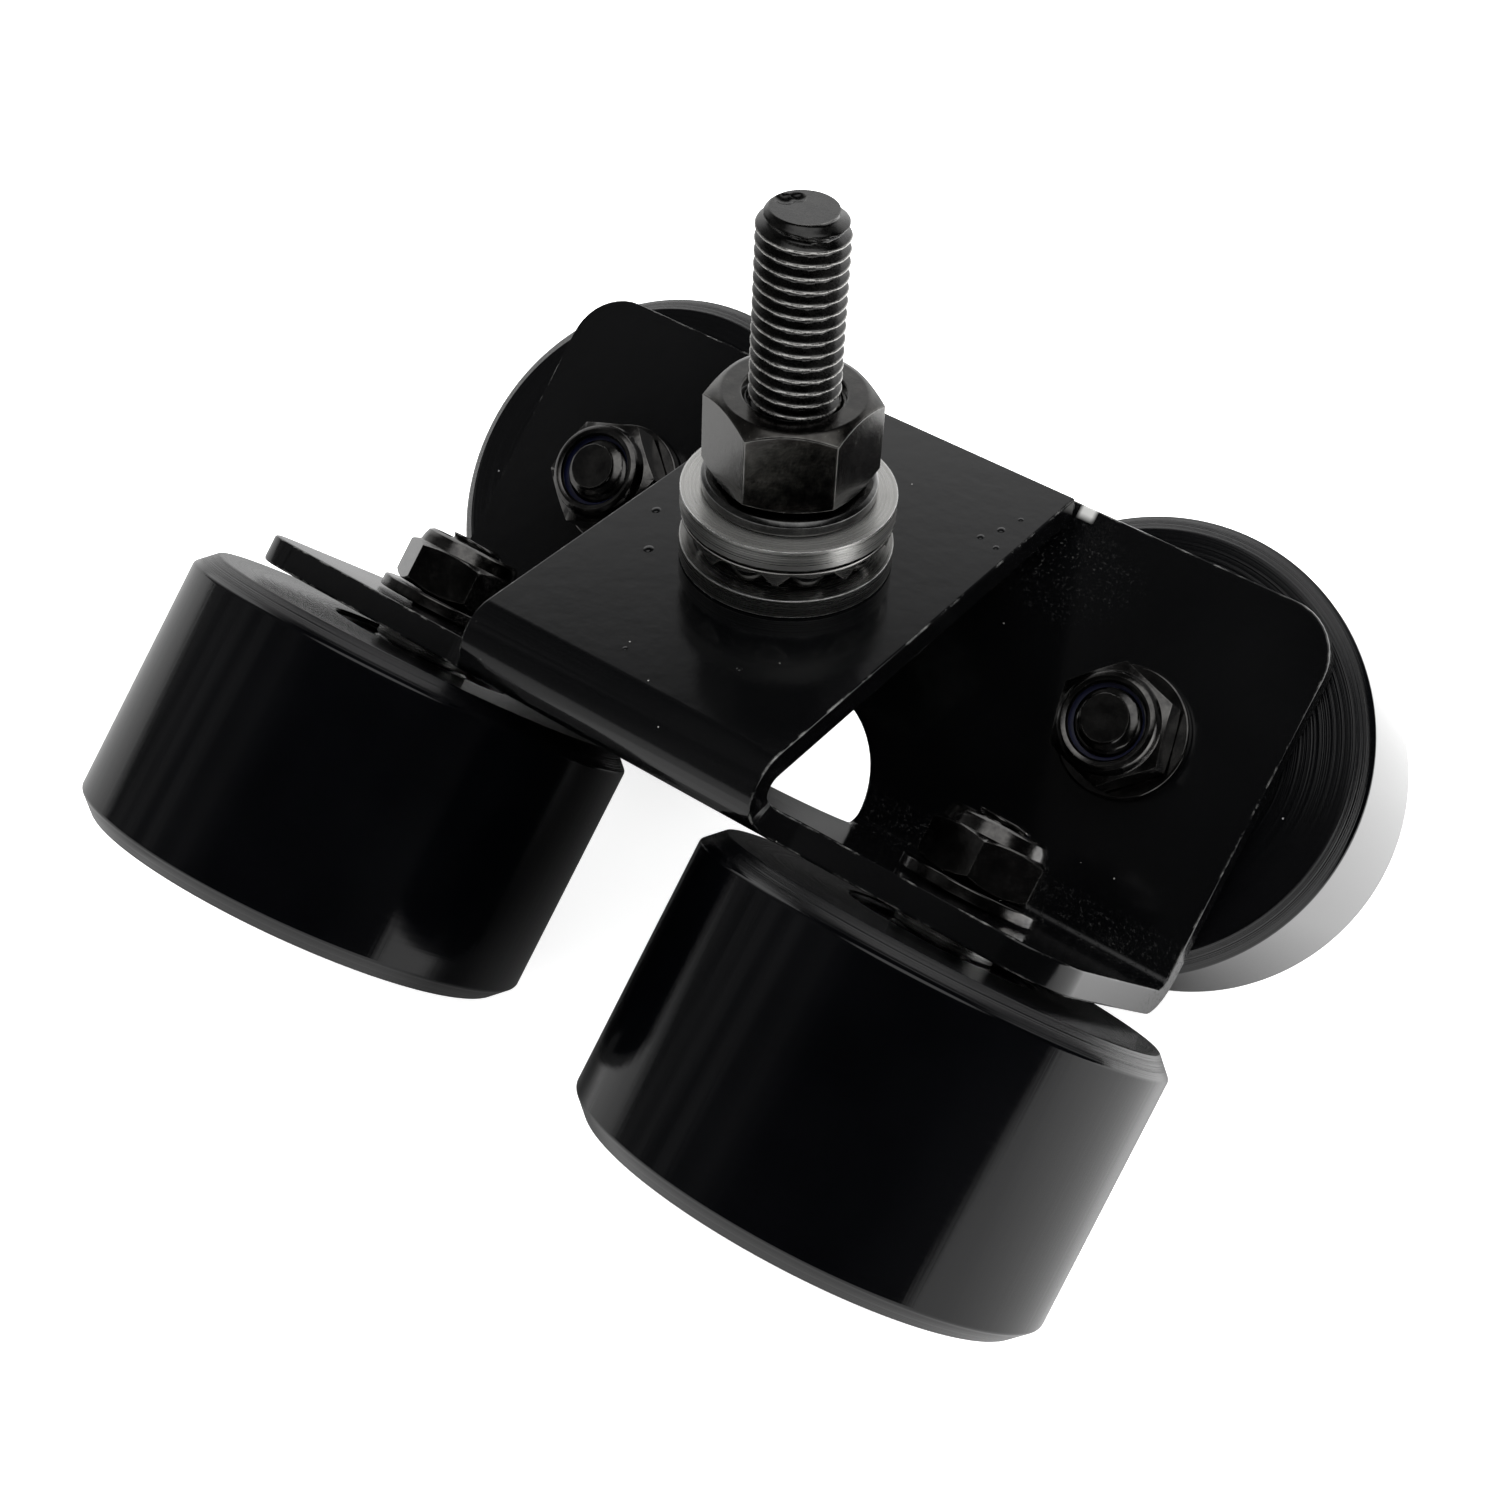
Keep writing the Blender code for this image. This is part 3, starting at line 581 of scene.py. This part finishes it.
# %% The flat blank
PLATE_HALF, WING_HALF = 19.8, 55.6
AXLE_X = abs(joints["spin_front_right"]["pos_m"][0]) / MM
NOTCH_FILLET, WING_CORNER = 4.0, 7.0
outline = [(PLATE_HALF, 0), (PLATE_HALF, wing_top), (WING_HALF, wing_top), (WING_HALF, blank_end),
           (-WING_HALF, blank_end), (-WING_HALF, wing_top), (-PLATE_HALF, wing_top), (-PLATE_HALF, 0)]
blank = bmesh.new()
corners = [blank.verts.new((x * MM, u * MM, 0)) for x, u in outline]
rim = [blank.edges.new(pair) for pair in zip(corners, corners[1:] + corners[:1])]
bmesh.ops.contextual_create(blank, geom=rim)
for radius, chosen in ((WING_CORNER, corners[2:6]), (NOTCH_FILLET, [corners[1], corners[6]])):
    bmesh.ops.bevel(blank, geom=chosen, offset=radius * MM, offset_type="OFFSET", affect="VERTICES",
                    segments=10, profile=0.5, material=-1)
grown = bmesh.ops.extrude_face_region(blank, geom=blank.faces[:])["geom"]
bmesh.ops.translate(blank, verts=[g for g in grown if isinstance(g, bmesh.types.BMVert)],
                    vec=(0, 0, SHEET * MM))
bmesh.ops.recalc_face_normals(blank, faces=blank.faces)
STUD_HOLE, AXLE_HOLE = 5.3, 4.3
holes = [(0, PLATE_BACK, STUD_HOLE)]
holes += [(x, u, AXLE_HOLE) for x in (-AXLE_X, AXLE_X) for u in (front_axle, back_axle)]
for x, u, radius in holes:
    drill = spun([(0, 8), (radius, 8), (radius, -4), (0, -4)], 48)
    bmesh.ops.translate(drill, verts=drill.verts, vec=(x * MM, u * MM, 0))
    blank = combined(blank, drill, "DIFFERENCE")
soften(blank, 0.3, 2, 60)
print("flat blank", len(blank.faces), "faces")

# %% Fold it
for flat, _, _ in marks[1:-1]:
    bmesh.ops.bisect_plane(blank, geom=blank.verts[:] + blank.edges[:] + blank.faces[:], dist=1e-7,
                           plane_co=(0, flat * MM, 0), plane_no=(0, 1, 0))


def posed(mark, depth):
    _, spot, heading = mark
    return MM * Vector((0, spot.x, spot.y)) + depth * Vector((0, -sin(heading), cos(heading)))


for vert in blank.verts:
    x, flat, depth = vert.co
    k = max(i for i in range(len(marks) - 1) if flat >= marks[i][0] * MM - 1e-6)
    before, after = marks[k], marks[k + 1]
    t = (flat / MM - before[0]) / (after[0] - before[0])
    vert.co = posed(before, depth).lerp(posed(after, depth), t) + Vector((x, 0, 0))
bmesh.ops.recalc_face_normals(blank, faces=blank.faces)
print("folded height", round((max(v.co.z for v in blank.verts) - min(v.co.z for v in blank.verts)) / MM, 1))

# %% [markdown]
# The opening through the V lets a socket reach the stud's head. It was cut as a round hole across the
# fold, so each flange gets its own round cutter, square to that flange.

# %% Opening through the V
ACCESS_RADIUS = 12.2
for side in (-1, 1):
    out = Vector((0, side * sin(FLANGE), -cos(FLANGE)))
    down = Vector((0, -side * cos(FLANGE), -sin(FLANGE)))
    spot = Vector((0, side * CORNER * MM, PLATE_TOP)) + ACCESS_DOWN * MM * down
    turn = Matrix((down.cross(out), down, out)).transposed().to_4x4()
    cutter = spun([(0, 8), (ACCESS_RADIUS, 8), (ACCESS_RADIUS, -SHEET - 1.5), (0, -SHEET - 1.5)], 72)
    bmesh.ops.transform(cutter, matrix=Matrix.Translation(spot) @ turn, verts=cutter.verts)
    blank = combined(blank, cutter, "DIFFERENCE")
piece("folded_bracket", blank, Matrix(), "bracket", "bracket", bracket_paint, "bracket", sharp=38)

# %% [markdown]
# ## Weld beads
#
# The plate's back edge is welded to the top of the back flange. A bead is laid in small overlapping
# ripples, so a round bar is divided along its length and each ring swells and shrinks a little.

# %% Weld beads
def bead(start, end, y, z, radius, ripple):
    """Rippled bar along X between two ends, in millimetres from the plate's top."""
    length = end - start
    rings = int(length / ripple * 8)
    bm = bmesh.new()
    bmesh.ops.create_cone(bm, cap_ends=True, segments=20, radius1=MM, radius2=MM, depth=length * MM,
                          matrix=Matrix.Rotation(pi / 2, 4, "Y"))
    rails = [e for e in bm.edges if abs(e.verts[0].co.x - e.verts[1].co.x) > 0.5 * length * MM]
    bmesh.ops.subdivide_edges(bm, edges=rails, cuts=rings, use_grid_fill=True)
    for vert in bm.verts:
        along = vert.co.x / MM
        wave = abs(sin(pi * (along - 0.35 * abs(vert.co.y / MM)) / ripple))
        taper = min(1.0, (length / 2 - abs(along)) / 1.6 + 0.02)
        size = radius * (0.9 + 0.13 * wave + 0.04 * sin(1.7 * along)) * sqrt(max(0.0, 1 - (1 - taper) ** 2))
        vert.co.y *= size
        vert.co.z *= size
    bmesh.ops.translate(bm, verts=bm.verts, vec=((start + end) / 2 * MM, y * MM, PLATE_TOP + z * MM))
    return bm


piece("weld_bead_outside", bead(-19.2, 19.4, 31.85, -2.3, 0.95, 1.3), Matrix(), "bracket", "bracket",
      bracket_paint, sharp=60)
piece("weld_bead_inside", bead(-19.0, 19.3, 30.1, -4.2, 1.6, 1.8), Matrix(), "bracket", "bracket",
      bracket_paint, sharp=60)

# %% [markdown]
# Powder coat traps a few grains of dirt, which stand up as smooth pimples. Each is a flattened sphere
# sunk into the plate.

# %% Pimples in the coat
nibs = bmesh.new()
for x, y, size in ((-16.2, -3.1, 0.55), (-12.2, -9.4, 0.6), (17.1, 23.0, 0.35), (16.4, 19.8, 0.5),
                   (15.3, 17.1, 0.45), (17.8, 16.5, 0.4), (8.4, -19.5, 0.35), (-3.0, -24.6, 0.3)):
    bmesh.ops.create_uvsphere(nibs, u_segments=16, v_segments=10, radius=size * MM,
                              matrix=Matrix.Translation((x * MM, y * MM, PLATE_TOP - 0.1 * size * MM))
                              @ Matrix.Diagonal((1, 1.2, 0.42, 1)))
piece("paint_pimples", nibs, Matrix(), "bracket", "bracket", nib_paint, sharp=180)

# %% [markdown]
# ## The threaded stud
#
# A thread is a groove that climbs one pitch in each turn. A smooth bar is divided into many rings, and
# each point moves in by a depth that depends on its height less its share of a turn. The flank shape is
# the standard one: a narrow flat crest, straight flanks at sixty degrees and a rounded root. The
# tip tapers and the groove grows shallower towards its end, so the last ridges run out over the
# chamfer. Two shallow dents mark the end face, where the stud has been knocked.

# %% Helper that cuts a thread
THREAD_DEPTH = 0.61  # of one pitch
TIP_SLOPE = 0.72


def threaded(radius, pitch, low, high, chamfer, around=72, per_pitch=12, turn=0.0):
    """Closed threaded bar in millimetres, cut from low to high with a chamfered top. Turn says where
    the thread starts, in whole turns."""
    bm = bmesh.new()
    bmesh.ops.create_cone(bm, cap_ends=True, segments=around, radius1=radius * MM, radius2=radius * MM,
                          depth=(high - low) * MM, matrix=Matrix.Translation((0, 0, (low + high) / 2 * MM)))
    rails = [e for e in bm.edges if abs(e.verts[0].co.z - e.verts[1].co.z) > 1e-5]
    rows = int((high - low) / pitch * per_pitch)
    bmesh.ops.subdivide_edges(bm, edges=rails, cuts=rows, use_grid_fill=True)
    depth = THREAD_DEPTH * pitch
    for vert in bm.verts:
        height = vert.co.z / MM
        share = (Vector((1, 0)).angle_signed(vert.co.xy, 0.0) / (2 * pi) - height / pitch + turn) % 1.0
        flank = min(1.0, max(0.0, (abs(2 * share - 1) - 0.1) / 0.72))
        root = flank * flank * (3 - 2 * flank) * 0.35 + flank * 0.65
        start = min(1.0, max(0.0, (height - low - 0.3) / (2 * pitch)))
        cone = min(radius, radius - chamfer + (high - height) * TIP_SLOPE)
        size = cone - depth * root * start * min(1.0, 0.5 + (high - height) / 2)
        vert.co.xy = vert.co.xy.normalized() * size * MM if vert.co.xy.length > 1e-9 else vert.co.xy
    return bm


# %% The stud, its head and its shank
STUD_TOP = (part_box("swivel_stud")[1].z - PLATE_TOP) / MM
HEAD_LOW = (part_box("swivel_stud")[0].z - PLATE_TOP) / MM
HEAD_TOP = -SHEET - 0.3
STUD_RADIUS, STUD_PITCH, STUD_CHAMFER, THREAD_LOW = 5.0, 1.5, 1.15, 9.8
head = combined(hexagon(17, HEAD_LOW - 2, HEAD_TOP + 2),
                spun([(0, HEAD_TOP), (10.5, HEAD_TOP), (10.5, HEAD_LOW + 1.2), (9.8, HEAD_LOW + 1.0),
                      (8.2, HEAD_LOW), (0, HEAD_LOW)], 72), "INTERSECT")
soften(head, 0.15, 2, 20)
shank = spun([(0, 10.0), (STUD_RADIUS, 10.0), (STUD_RADIUS, HEAD_TOP - 1), (0, HEAD_TOP - 1)], 72)
piece("stud_head_and_shank", combined(head, shank, "UNION"), stud_place, "swivel", "swivel_stud", stud_steel,
      "swivel_stud")
tip = threaded(STUD_RADIUS, STUD_PITCH, THREAD_LOW, STUD_TOP, STUD_CHAMFER, 96, 14, turn=0.5)
for x, y, size, sink in ((-2.6, 0.2, 2.0, 0.45), (-1.9, 1.3, 1.7, 0.4)):
    dent = bmesh.new()
    bmesh.ops.create_icosphere(dent, subdivisions=3, radius=size * MM,
                               matrix=Matrix.Translation((x * MM, y * MM, (STUD_TOP + size - sink) * MM)))
    tip = combined(tip, dent, "DIFFERENCE")
piece("stud_thread", tip, stud_place, "swivel", "swivel_stud", stud_steel, sharp=42)

# %% [markdown]
# ## Nut, washer and thrust bearing
#
# A nut is a hexagon trimmed by a chamfered disc. Where the cone meets the flats it leaves the curved
# arcs that every nut has, so it is worth cutting them rather than drawing them.

# %% Swivel nut
NUT_TURN = radians(34.5)
nut_low, nut_high = [(corner.z - PLATE_TOP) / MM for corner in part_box("swivel_nut")]
nut = combined(hexagon(17, nut_low - 2, nut_high + 2, NUT_TURN),
               spun([(5.75, nut_high), (7.9, nut_high), (8.3, nut_high - 0.15), (9.82, nut_high - 1.15),
                     (10.6, nut_high - 1.8), (10.6, nut_low + 1.7), (9.82, nut_low + 1.0),
                     (8.3, nut_low + 0.1), (5.7, nut_low), (5.15, nut_low + 0.7), (5.15, nut_high - 0.7)],
                    96), "INTERSECT")
piece("swivel_nut_body", soften(nut, 0.14, 3, 20), stud_place, "swivel", "swivel_nut", nut_steel,
      "swivel_nut")

# %% Washer and races
low, high = [(corner.z - PLATE_TOP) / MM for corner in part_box("swivel_washer")]
washer = spun([(5.3, high), (9.35, high), (9.8, high - 0.45), (9.8, low + 0.2), (9.65, low), (5.3, low)], 96)
piece("swivel_washer_disc", soften(washer, 0.18, 3), stud_place, "swivel", "swivel_washer", washer_steel,
      "swivel_washer")
BALL_MIDDLE, BALL_PITCH, BALL_RADIUS = 4.55, 8.6, 2.35
GROOVE_RADIUS, RACE_BORE = 2.5, 5.5
for name, body, face in (("lower", "bracket", 1), ("upper", "swivel", -1)):
    low, high = [(corner.z - PLATE_TOP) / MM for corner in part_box("thrust_race_" + name)]
    flat, back = (high, low) if face > 0 else (low, high)
    reach = sqrt(GROOVE_RADIUS ** 2 - (flat - BALL_MIDDLE) ** 2)
    groove = [(BALL_PITCH + reach * (k / 5 - 1), 0) for k in range(11)]
    groove = [(r, BALL_MIDDLE - face * sqrt(GROOVE_RADIUS ** 2 - (r - BALL_PITCH) ** 2)) for r, _ in groove]
    race = spun([(RACE_BORE, flat), *groove, (12.0, flat), (12.05, flat - face * 0.05), (12.05, back),
                 (RACE_BORE, back)], 128)
    soften(race, 0.22, 3, 35, chosen=lambda e: max(Vector(v.co.xy).length for v in e.verts) > 11.9 * MM)
    piece(f"thrust_race_{name}_ring", race, stud_place, body, "thrust_race_" + name,
          lower_race_painted_shade if name == "lower" else race_steel, "thrust_race_" + name)

# %% [markdown]
# The balls of the thrust bearing sit in a pressed cage: a thin disc with a rim that shows as a bright
# line under the upper race, a short collar round every ball, and a pointed tab between balls.

# %% Thrust cage and balls
COUNT = 9
rim_low, rim_high = 5.72, 6.2
cage = spun([(6.0, rim_high), (11.95, rim_high), (11.95, rim_low), (6.0, rim_low)], 128)
soften(cage, 0.12, 2)
for k in range(COUNT):
    collar = spun([(2.75, rim_high - 0.05), (2.95, rim_high - 0.05), (2.74, 5.0), (2.54, 5.0)], 32)
    turn = Matrix.Rotation(2 * pi * k / COUNT, 4, "Z") @ Matrix.Translation((BALL_PITCH * MM, 0, 0))
    bmesh.ops.transform(collar, matrix=turn, verts=collar.verts)
    mesh = bpy.data.meshes.new("collar")
    collar.to_mesh(mesh)
    collar.free()
    cage.from_mesh(mesh)
    tab = Matrix.Rotation(2 * pi * (k + 0.5) / COUNT, 4, "Z") @ Matrix.Translation((11.5 * MM, 0, 4.95 * MM))
    bmesh.ops.create_cone(cage, cap_ends=True, segments=16, radius1=0.25 * MM, radius2=1.9 * MM,
                          depth=1.7 * MM, matrix=tab @ Matrix.Diagonal((0.16, 1, 1, 1)))
piece("thrust_cage_pressing", cage, stud_place, "thrust_cage", "thrust_ball_cage", cage_steel,
      "thrust_ball_cage")
balls = bmesh.new()
for k in range(COUNT):
    spot = Matrix.Translation((BALL_PITCH * MM, 0, BALL_MIDDLE * MM))
    bmesh.ops.create_uvsphere(balls, u_segments=40, v_segments=24, radius=BALL_RADIUS * MM,
                              matrix=Matrix.Rotation(2 * pi * k / COUNT, 4, "Z") @ spot)
piece("thrust_balls", balls, stud_place, "thrust_cage", "thrust_ball_cage", ball_steel_painted_shade, sharp=180)

# %% [markdown]
# ## The wheel stations
#
# The four stations are the same, so their pieces are made in one loop and placed by each station's
# frame. All heights run out along the axle from the outside of the flange.

# %% Profiles of the wheel and its bearings
near, far = STANDOFF / MM, (STANDOFF + WHEEL_WIDTH) / MM
WHEEL_RADIUS, CHAMFER, POCKET, WEB = 28.0, 2.1, 11.3, 9.45
INNER_INSET, OUTER_INSET, BEARING_WIDTH, SLACK = 0.5, 2.6, 7.0, 0.3
BOLT_STANDS, HEAD_HEIGHT, NUT_TWIST = 9.7, 5.3, 0.3


def wheel_solid():
    """Chamfered wheel with a bearing pocket in each face and a narrower bore between them."""
    side = WHEEL_RADIUS - CHAMFER
    seat_in, seat_out = (inset + BEARING_WIDTH + SLACK for inset in (INNER_INSET, OUTER_INSET))
    bm = spun([(POCKET, far), (side, far), (WHEEL_RADIUS, far - CHAMFER), (WHEEL_RADIUS, near + CHAMFER),
               (side, near), (POCKET, near), (POCKET, near + seat_in), (WEB, near + seat_in),
               (WEB, far - seat_out), (POCKET, far - seat_out)], 160)
    return soften(bm, 0.22, 3, 25)


def bearing_solid(low, high):
    """Outer ring with a pressed shield let into each side."""
    lip, step = 6.6, 9.9
    bm = spun([(lip, high - 0.45), (9.2, high - 0.45), (9.35, high - 0.25), (9.6, high - 0.25), (9.75, high),
               (11.0, high), (11.0, low), (9.75, low), (9.6, low + 0.25), (9.35, low + 0.25),
               (9.2, low + 0.45), (lip, low + 0.45), (lip, low + 0.8), (step, low + 0.8),
               (step, high - 0.8), (lip, high - 0.8)], 96)
    return soften(bm, 0.1, 2, 30)


print("wheel face to face", round(far - near, 2), "mm")


# %% [markdown]
# The axle bolt's head sits outside the wheel, and its thread ends inside the flange in a lock nut: a
# hexagon with a rolled collar that holds a ring of nylon.

# %% Solids of the axle bolt and lock nut
def bolt_solid(head_low, head_high, end):
    """Chamfered hexagon head outside the wheel, on a plain shank that stops short of the thread's end."""
    head = combined(hexagon(13, head_low - 2, head_high + 2),
                    spun([(0, head_high), (6.1, head_high), (7.5, head_high - 0.9), (8.2, head_high - 1.4),
                          (8.2, head_low), (0, head_low)], 72), "INTERSECT")
    soften(head, 0.15, 2, 20)
    shank = spun([(0, head_low + 1), (4.0, head_low + 1), (4.0, end + 11), (0, end + 11)], 48)
    return combined(head, shank, "UNION")


def lock_nut_solid(end, seat, turn):
    """Hexagon from the seat, then the collar up to its rolled lip; end is the lip's level."""
    body = combined(hexagon(13, end - 2, seat + 2, turn),
                    spun([(4.35, seat), (6.3, seat), (7.5, seat - 0.7), (8.2, seat - 1.2), (8.2, end + 2.9),
                          (7.5, end + 2.3), (6.15, end + 1.75), (6.0, end + 0.95), (5.75, end + 0.3),
                          (5.25, end), (4.75, end + 0.15), (4.5, end + 0.55), (5.25, end + 0.7),
                          (5.25, end + 2.3), (4.35, end + 2.3)], 72), "INTERSECT")
    return soften(body, 0.1, 2, 22)


# %% Build the four stations
for name, place in sorted(stations.items()):
    wheel = "wheel_" + name
    piece("turned_wheel_" + name, wheel_solid(), place, wheel, wheel, wheel_nylon, wheel)
    for which, low in (("inner", near + INNER_INSET), ("outer", far - OUTER_INSET - BEARING_WIDTH)):
        slot = f"{which}_bearing_outer_ring_{name}"
        piece(f"shielded_ring_{which}_{name}", bearing_solid(low, low + BEARING_WIDTH), place, wheel, slot,
              ring_steel, slot)
        groove = [(5.95 - 0.75 * cos(pi * (k / 4 - 1) / 2), low + 3.5 + 1.9 * sin(pi * (k / 4 - 1) / 2))
                  for k in range(8, -1, -1)]
        ring = spun([(4.3, low), (4.3, low + BEARING_WIDTH), (6.0, low + BEARING_WIDTH), *groove,
                     (6.0, low)], 72)
        slot = f"{which}_bearing_inner_ring_{name}"
        piece(f"grooved_ring_{which}_{name}", soften(ring, 0.1, 2, 50), place, "bracket", slot,
              ring_steel, slot)
        frame["nodes"][f"{which}_bearing_ball_cage_{name}"].material_slots[0].material = ball_steel_painted_shade
    spacer_low = near + INNER_INSET + BEARING_WIDTH + SLACK
    spacer_high = far - OUTER_INSET - BEARING_WIDTH - SLACK
    spacer = spun([(4.3, spacer_low), (5.9, spacer_low), (5.9, spacer_high), (4.3, spacer_high)], 64)
    piece("turned_spacer_" + name, soften(spacer, 0.15), place, "bracket", "bearing_spacer_" + name,
          ring_steel, "bearing_spacer_" + name)

    bush = spun([(4.3, near + 0.2), (5.9, near + 0.2), (5.9, 0.25), (4.3, 0.25)], 64)
    piece("turned_bush_" + name, soften(bush, 0.12), place, "bracket", "standoff_bush_" + name, ring_steel,
          "standoff_bush_" + name)
    head_low = far - OUTER_INSET + SLACK
    end = -SHEET - BOLT_STANDS
    piece("axle_bolt_body_" + name, bolt_solid(head_low, head_low + HEAD_HEIGHT, end), place, "bracket",
          "axle_bolt_" + name, fastener_zinc, "axle_bolt_" + name)
    thread = threaded(4.0, 1.25, 1.5, -end, 1.0, 56, 10)
    bmesh.ops.rotate(thread, verts=thread.verts, cent=(0, 0, 0), matrix=Matrix.Rotation(pi, 3, "X"))
    piece("axle_bolt_thread_" + name, thread, place, "bracket", "axle_bolt_" + name, fastener_zinc, sharp=42)

    seat = -SHEET - 0.3
    washer = spun([(4.3, seat), (8.05, seat), (8.05, seat - 1.4), (7.7, seat - 1.5), (4.3, seat - 1.5)], 96)
    piece("flat_washer_" + name, soften(washer, 0.2, 3), place, "bracket", "nut_washer_" + name,
          fastener_zinc, "nut_washer_" + name)
    turn = NUT_TWIST if "right" in name else -NUT_TWIST
    piece("lock_nut_body_" + name, lock_nut_solid(end + 0.7, seat - 1.7, turn), place, "bracket",
          "lock_nut_" + name, fastener_zinc, "lock_nut_" + name)
    insert = spun([(4.05, end + 2.9), (5.2, end + 2.9), (5.2, end + 2.1), (4.9, end + 1.95),
                   (4.05, end + 1.95)], 64)
    piece("nylon_insert_" + name, soften(insert, 0.1), place, "bracket", "lock_insert_" + name, insert_nylon,
          "lock_insert_" + name)

# %% [markdown]
# ## Stage
#
# The floor is plain pale paper under one broad soft light. Black gloss has hardly any colour of its
# own, so what it shows is the room: a bright low wall behind, a softer one on the left, and darkness
# behind the viewer, with one soft patch overhead that lines every rounded edge. The lamp and the even
# fill light only the floor. The viewer sees floor and surround as white. In reflections the floor's
# colour carries a painted shade: dark close to the roller, greyer in front and on the left, and white
# at the back and on the right.

# %% Floor
floor_mesh = bpy.data.meshes.new("studio_floor")
sheet = bmesh.new()
bmesh.ops.create_grid(sheet, x_segments=1, y_segments=1, size=4.0)
sheet.to_mesh(floor_mesh)
sheet.free()
floor = bpy.data.objects.new("studio_floor", floor_mesh)
bpy.context.scene.collection.objects.link(floor)
floor_paper, tree, shader, where = material("floor paper", 0.9, 0.0, 0.1)
fibre = noise(tree, where, 40.0, 4.0)
paper = tint(tree, fibre, (0.9, 0.9, 0.9), (0.93, 0.93, 0.93))
path = node(tree, "ShaderNodeLightPath").outputs
away = node(tree, "ShaderNodeVectorMath", {0: where}, operation="LENGTH").outputs["Value"]
floor_axes = node(tree, "ShaderNodeSeparateXYZ", {0: where}).outputs
# Painted shade, seen only in glossy reflections: the floor's colour turns dark near the roller and greyer in
# front and on the left.
front_painted_shade = spread(tree, floor_axes[1], -0.06, 0.09, 0.58, 0.08)
left_painted_shade = spread(tree, floor_axes[0], -0.08, -0.05, 0.75, 0.0)
near_painted_shade = spread(tree, away, 0.05, 0.088, 0.9, 0.08)
shaded = maths(tree, "MAXIMUM", near_painted_shade, maths(tree, "MAXIMUM", front_painted_shade, left_painted_shade))
painted_shade_in_gloss = maths(tree, "MULTIPLY", path["Is Glossy Ray"], shaded)
tree.links.new(tint(tree, painted_shade_in_gloss, paper, (0.1, 0.1, 0.1)), shader.inputs["Base Color"])
shader.inputs["Emission Strength"].default_value = 0.72
tree.links.new(tint(tree, path["Is Camera Ray"], (0, 0, 0), (1, 1, 1)), shader.inputs["Emission Color"])
floor_mesh.materials.append(floor_paper)
floor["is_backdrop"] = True
print("floor at height 0")

# %% Lamp
LAMP_SIZE, LAMP_SPOT, LAMP_POWER = 2.6, (0.5, 0.1, 1.5), 30.0
data = bpy.data.lights.new("overhead_softbox", "AREA")
data.shape, data.size, data.energy = "DISK", LAMP_SIZE, LAMP_POWER
lamp = bpy.data.objects.new("overhead_softbox", data)
lamp.location = LAMP_SPOT
lamp.visible_glossy = False
bpy.context.scene.collection.objects.link(lamp)
print("lamp", LAMP_SIZE, "m across")

# %% Surround
world = bpy.data.worlds.new("studio surround")
bpy.context.scene.world = world
world.use_nodes = True
tree = world.node_tree
backdrop = tree.nodes["Background"]
backdrop.inputs["Color"].default_value = (1, 1, 1, 1)
direction = node(tree, "ShaderNodeTexCoord").outputs["Generated"]
height = node(tree, "ShaderNodeSeparateXYZ", {0: direction}).outputs[2]


def toward(aim, start, full):
    """One where the gaze points along the aim, nothing where it points well away from it."""
    facing = node(tree, "ShaderNodeVectorMath", {0: direction, 1: Vector(aim).normalized()},
                  operation="DOT_PRODUCT").outputs["Value"]
    return spread(tree, facing, start, full)


def add_glow(total, mask, level):
    return maths(tree, "ADD", total, maths(tree, "MULTIPLY", mask, level))


across, ahead, _ = node(tree, "ShaderNodeSeparateXYZ", {0: direction}).outputs
bearing = maths(tree, "ARCTAN2", ahead, across)
folds = node(tree, "ShaderNodeTexNoise", {"W": bearing, "Scale": 9.0, "Detail": 5.0, "Roughness": 0.65},
             noise_dimensions="1D").outputs["Fac"]
back_wall = maths(tree, "MULTIPLY", toward((-0.38, 0.85, 0.3), 0.5, 0.82), spread(tree, height, 0.68, 0.53))
left_wall = maths(tree, "MULTIPLY", toward((-0.95, -0.25, 0.2), 0.45, 0.85),
                  spread(tree, folds, 0.42, 0.6, 0.15, 1.0))
front_wall = maths(tree, "MULTIPLY", toward((0.3, -0.95, 0.0), 0.3, 0.9), spread(tree, height, 0.35, 0.05))
glow = add_glow(0.015, back_wall, 1.2)
glow = add_glow(glow, left_wall, 0.2)
glow = add_glow(glow, front_wall, 0.06)
glow = add_glow(glow, toward((0.2, -0.1, 0.97), 0.84, 0.93), 1.4)
path = node(tree, "ShaderNodeLightPath").outputs
fill = maths(tree, "MULTIPLY", path["Is Diffuse Ray"], 1.5)
surround = node(tree, "ShaderNodeBackground", {"Strength": maths(tree, "ADD", glow, fill)})
mixed = node(tree, "ShaderNodeMixShader", {0: path["Is Camera Ray"], 1: surround.outputs[0],
                                           2: backdrop.outputs[0]})
tree.links.new(mixed.outputs[0], tree.nodes["World Output"].inputs["Surface"])
bpy.context.scene.view_settings.view_transform = "Standard"
print("surround ready")

# %% [markdown]
# The camera looks down on the front right corner from close by, so the near wheels look larger.

# %% Camera
SENSOR, LENS, SHIFT = 36, 53.45, (-0.0913, 0.0124)
CAMERA_SPOT, CAMERA_TURN = (0.11511, -0.16637, 0.21510), (0.83121, -0.07590, 0.60564)
camera = bpy.data.objects.new("camera", bpy.data.cameras.new("camera"))
bpy.context.scene.collection.objects.link(camera)
camera.data.sensor_width, camera.data.lens = SENSOR, LENS
camera.data.shift_x, camera.data.shift_y = SHIFT
camera.data.clip_start = 0.01
camera.location, camera.rotation_euler = CAMERA_SPOT, CAMERA_TURN
bpy.context.scene.camera = camera
print("camera at", tuple(round(value, 3) for value in camera.location))

# %% Bounds of everything shown, the floor left out
low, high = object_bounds()
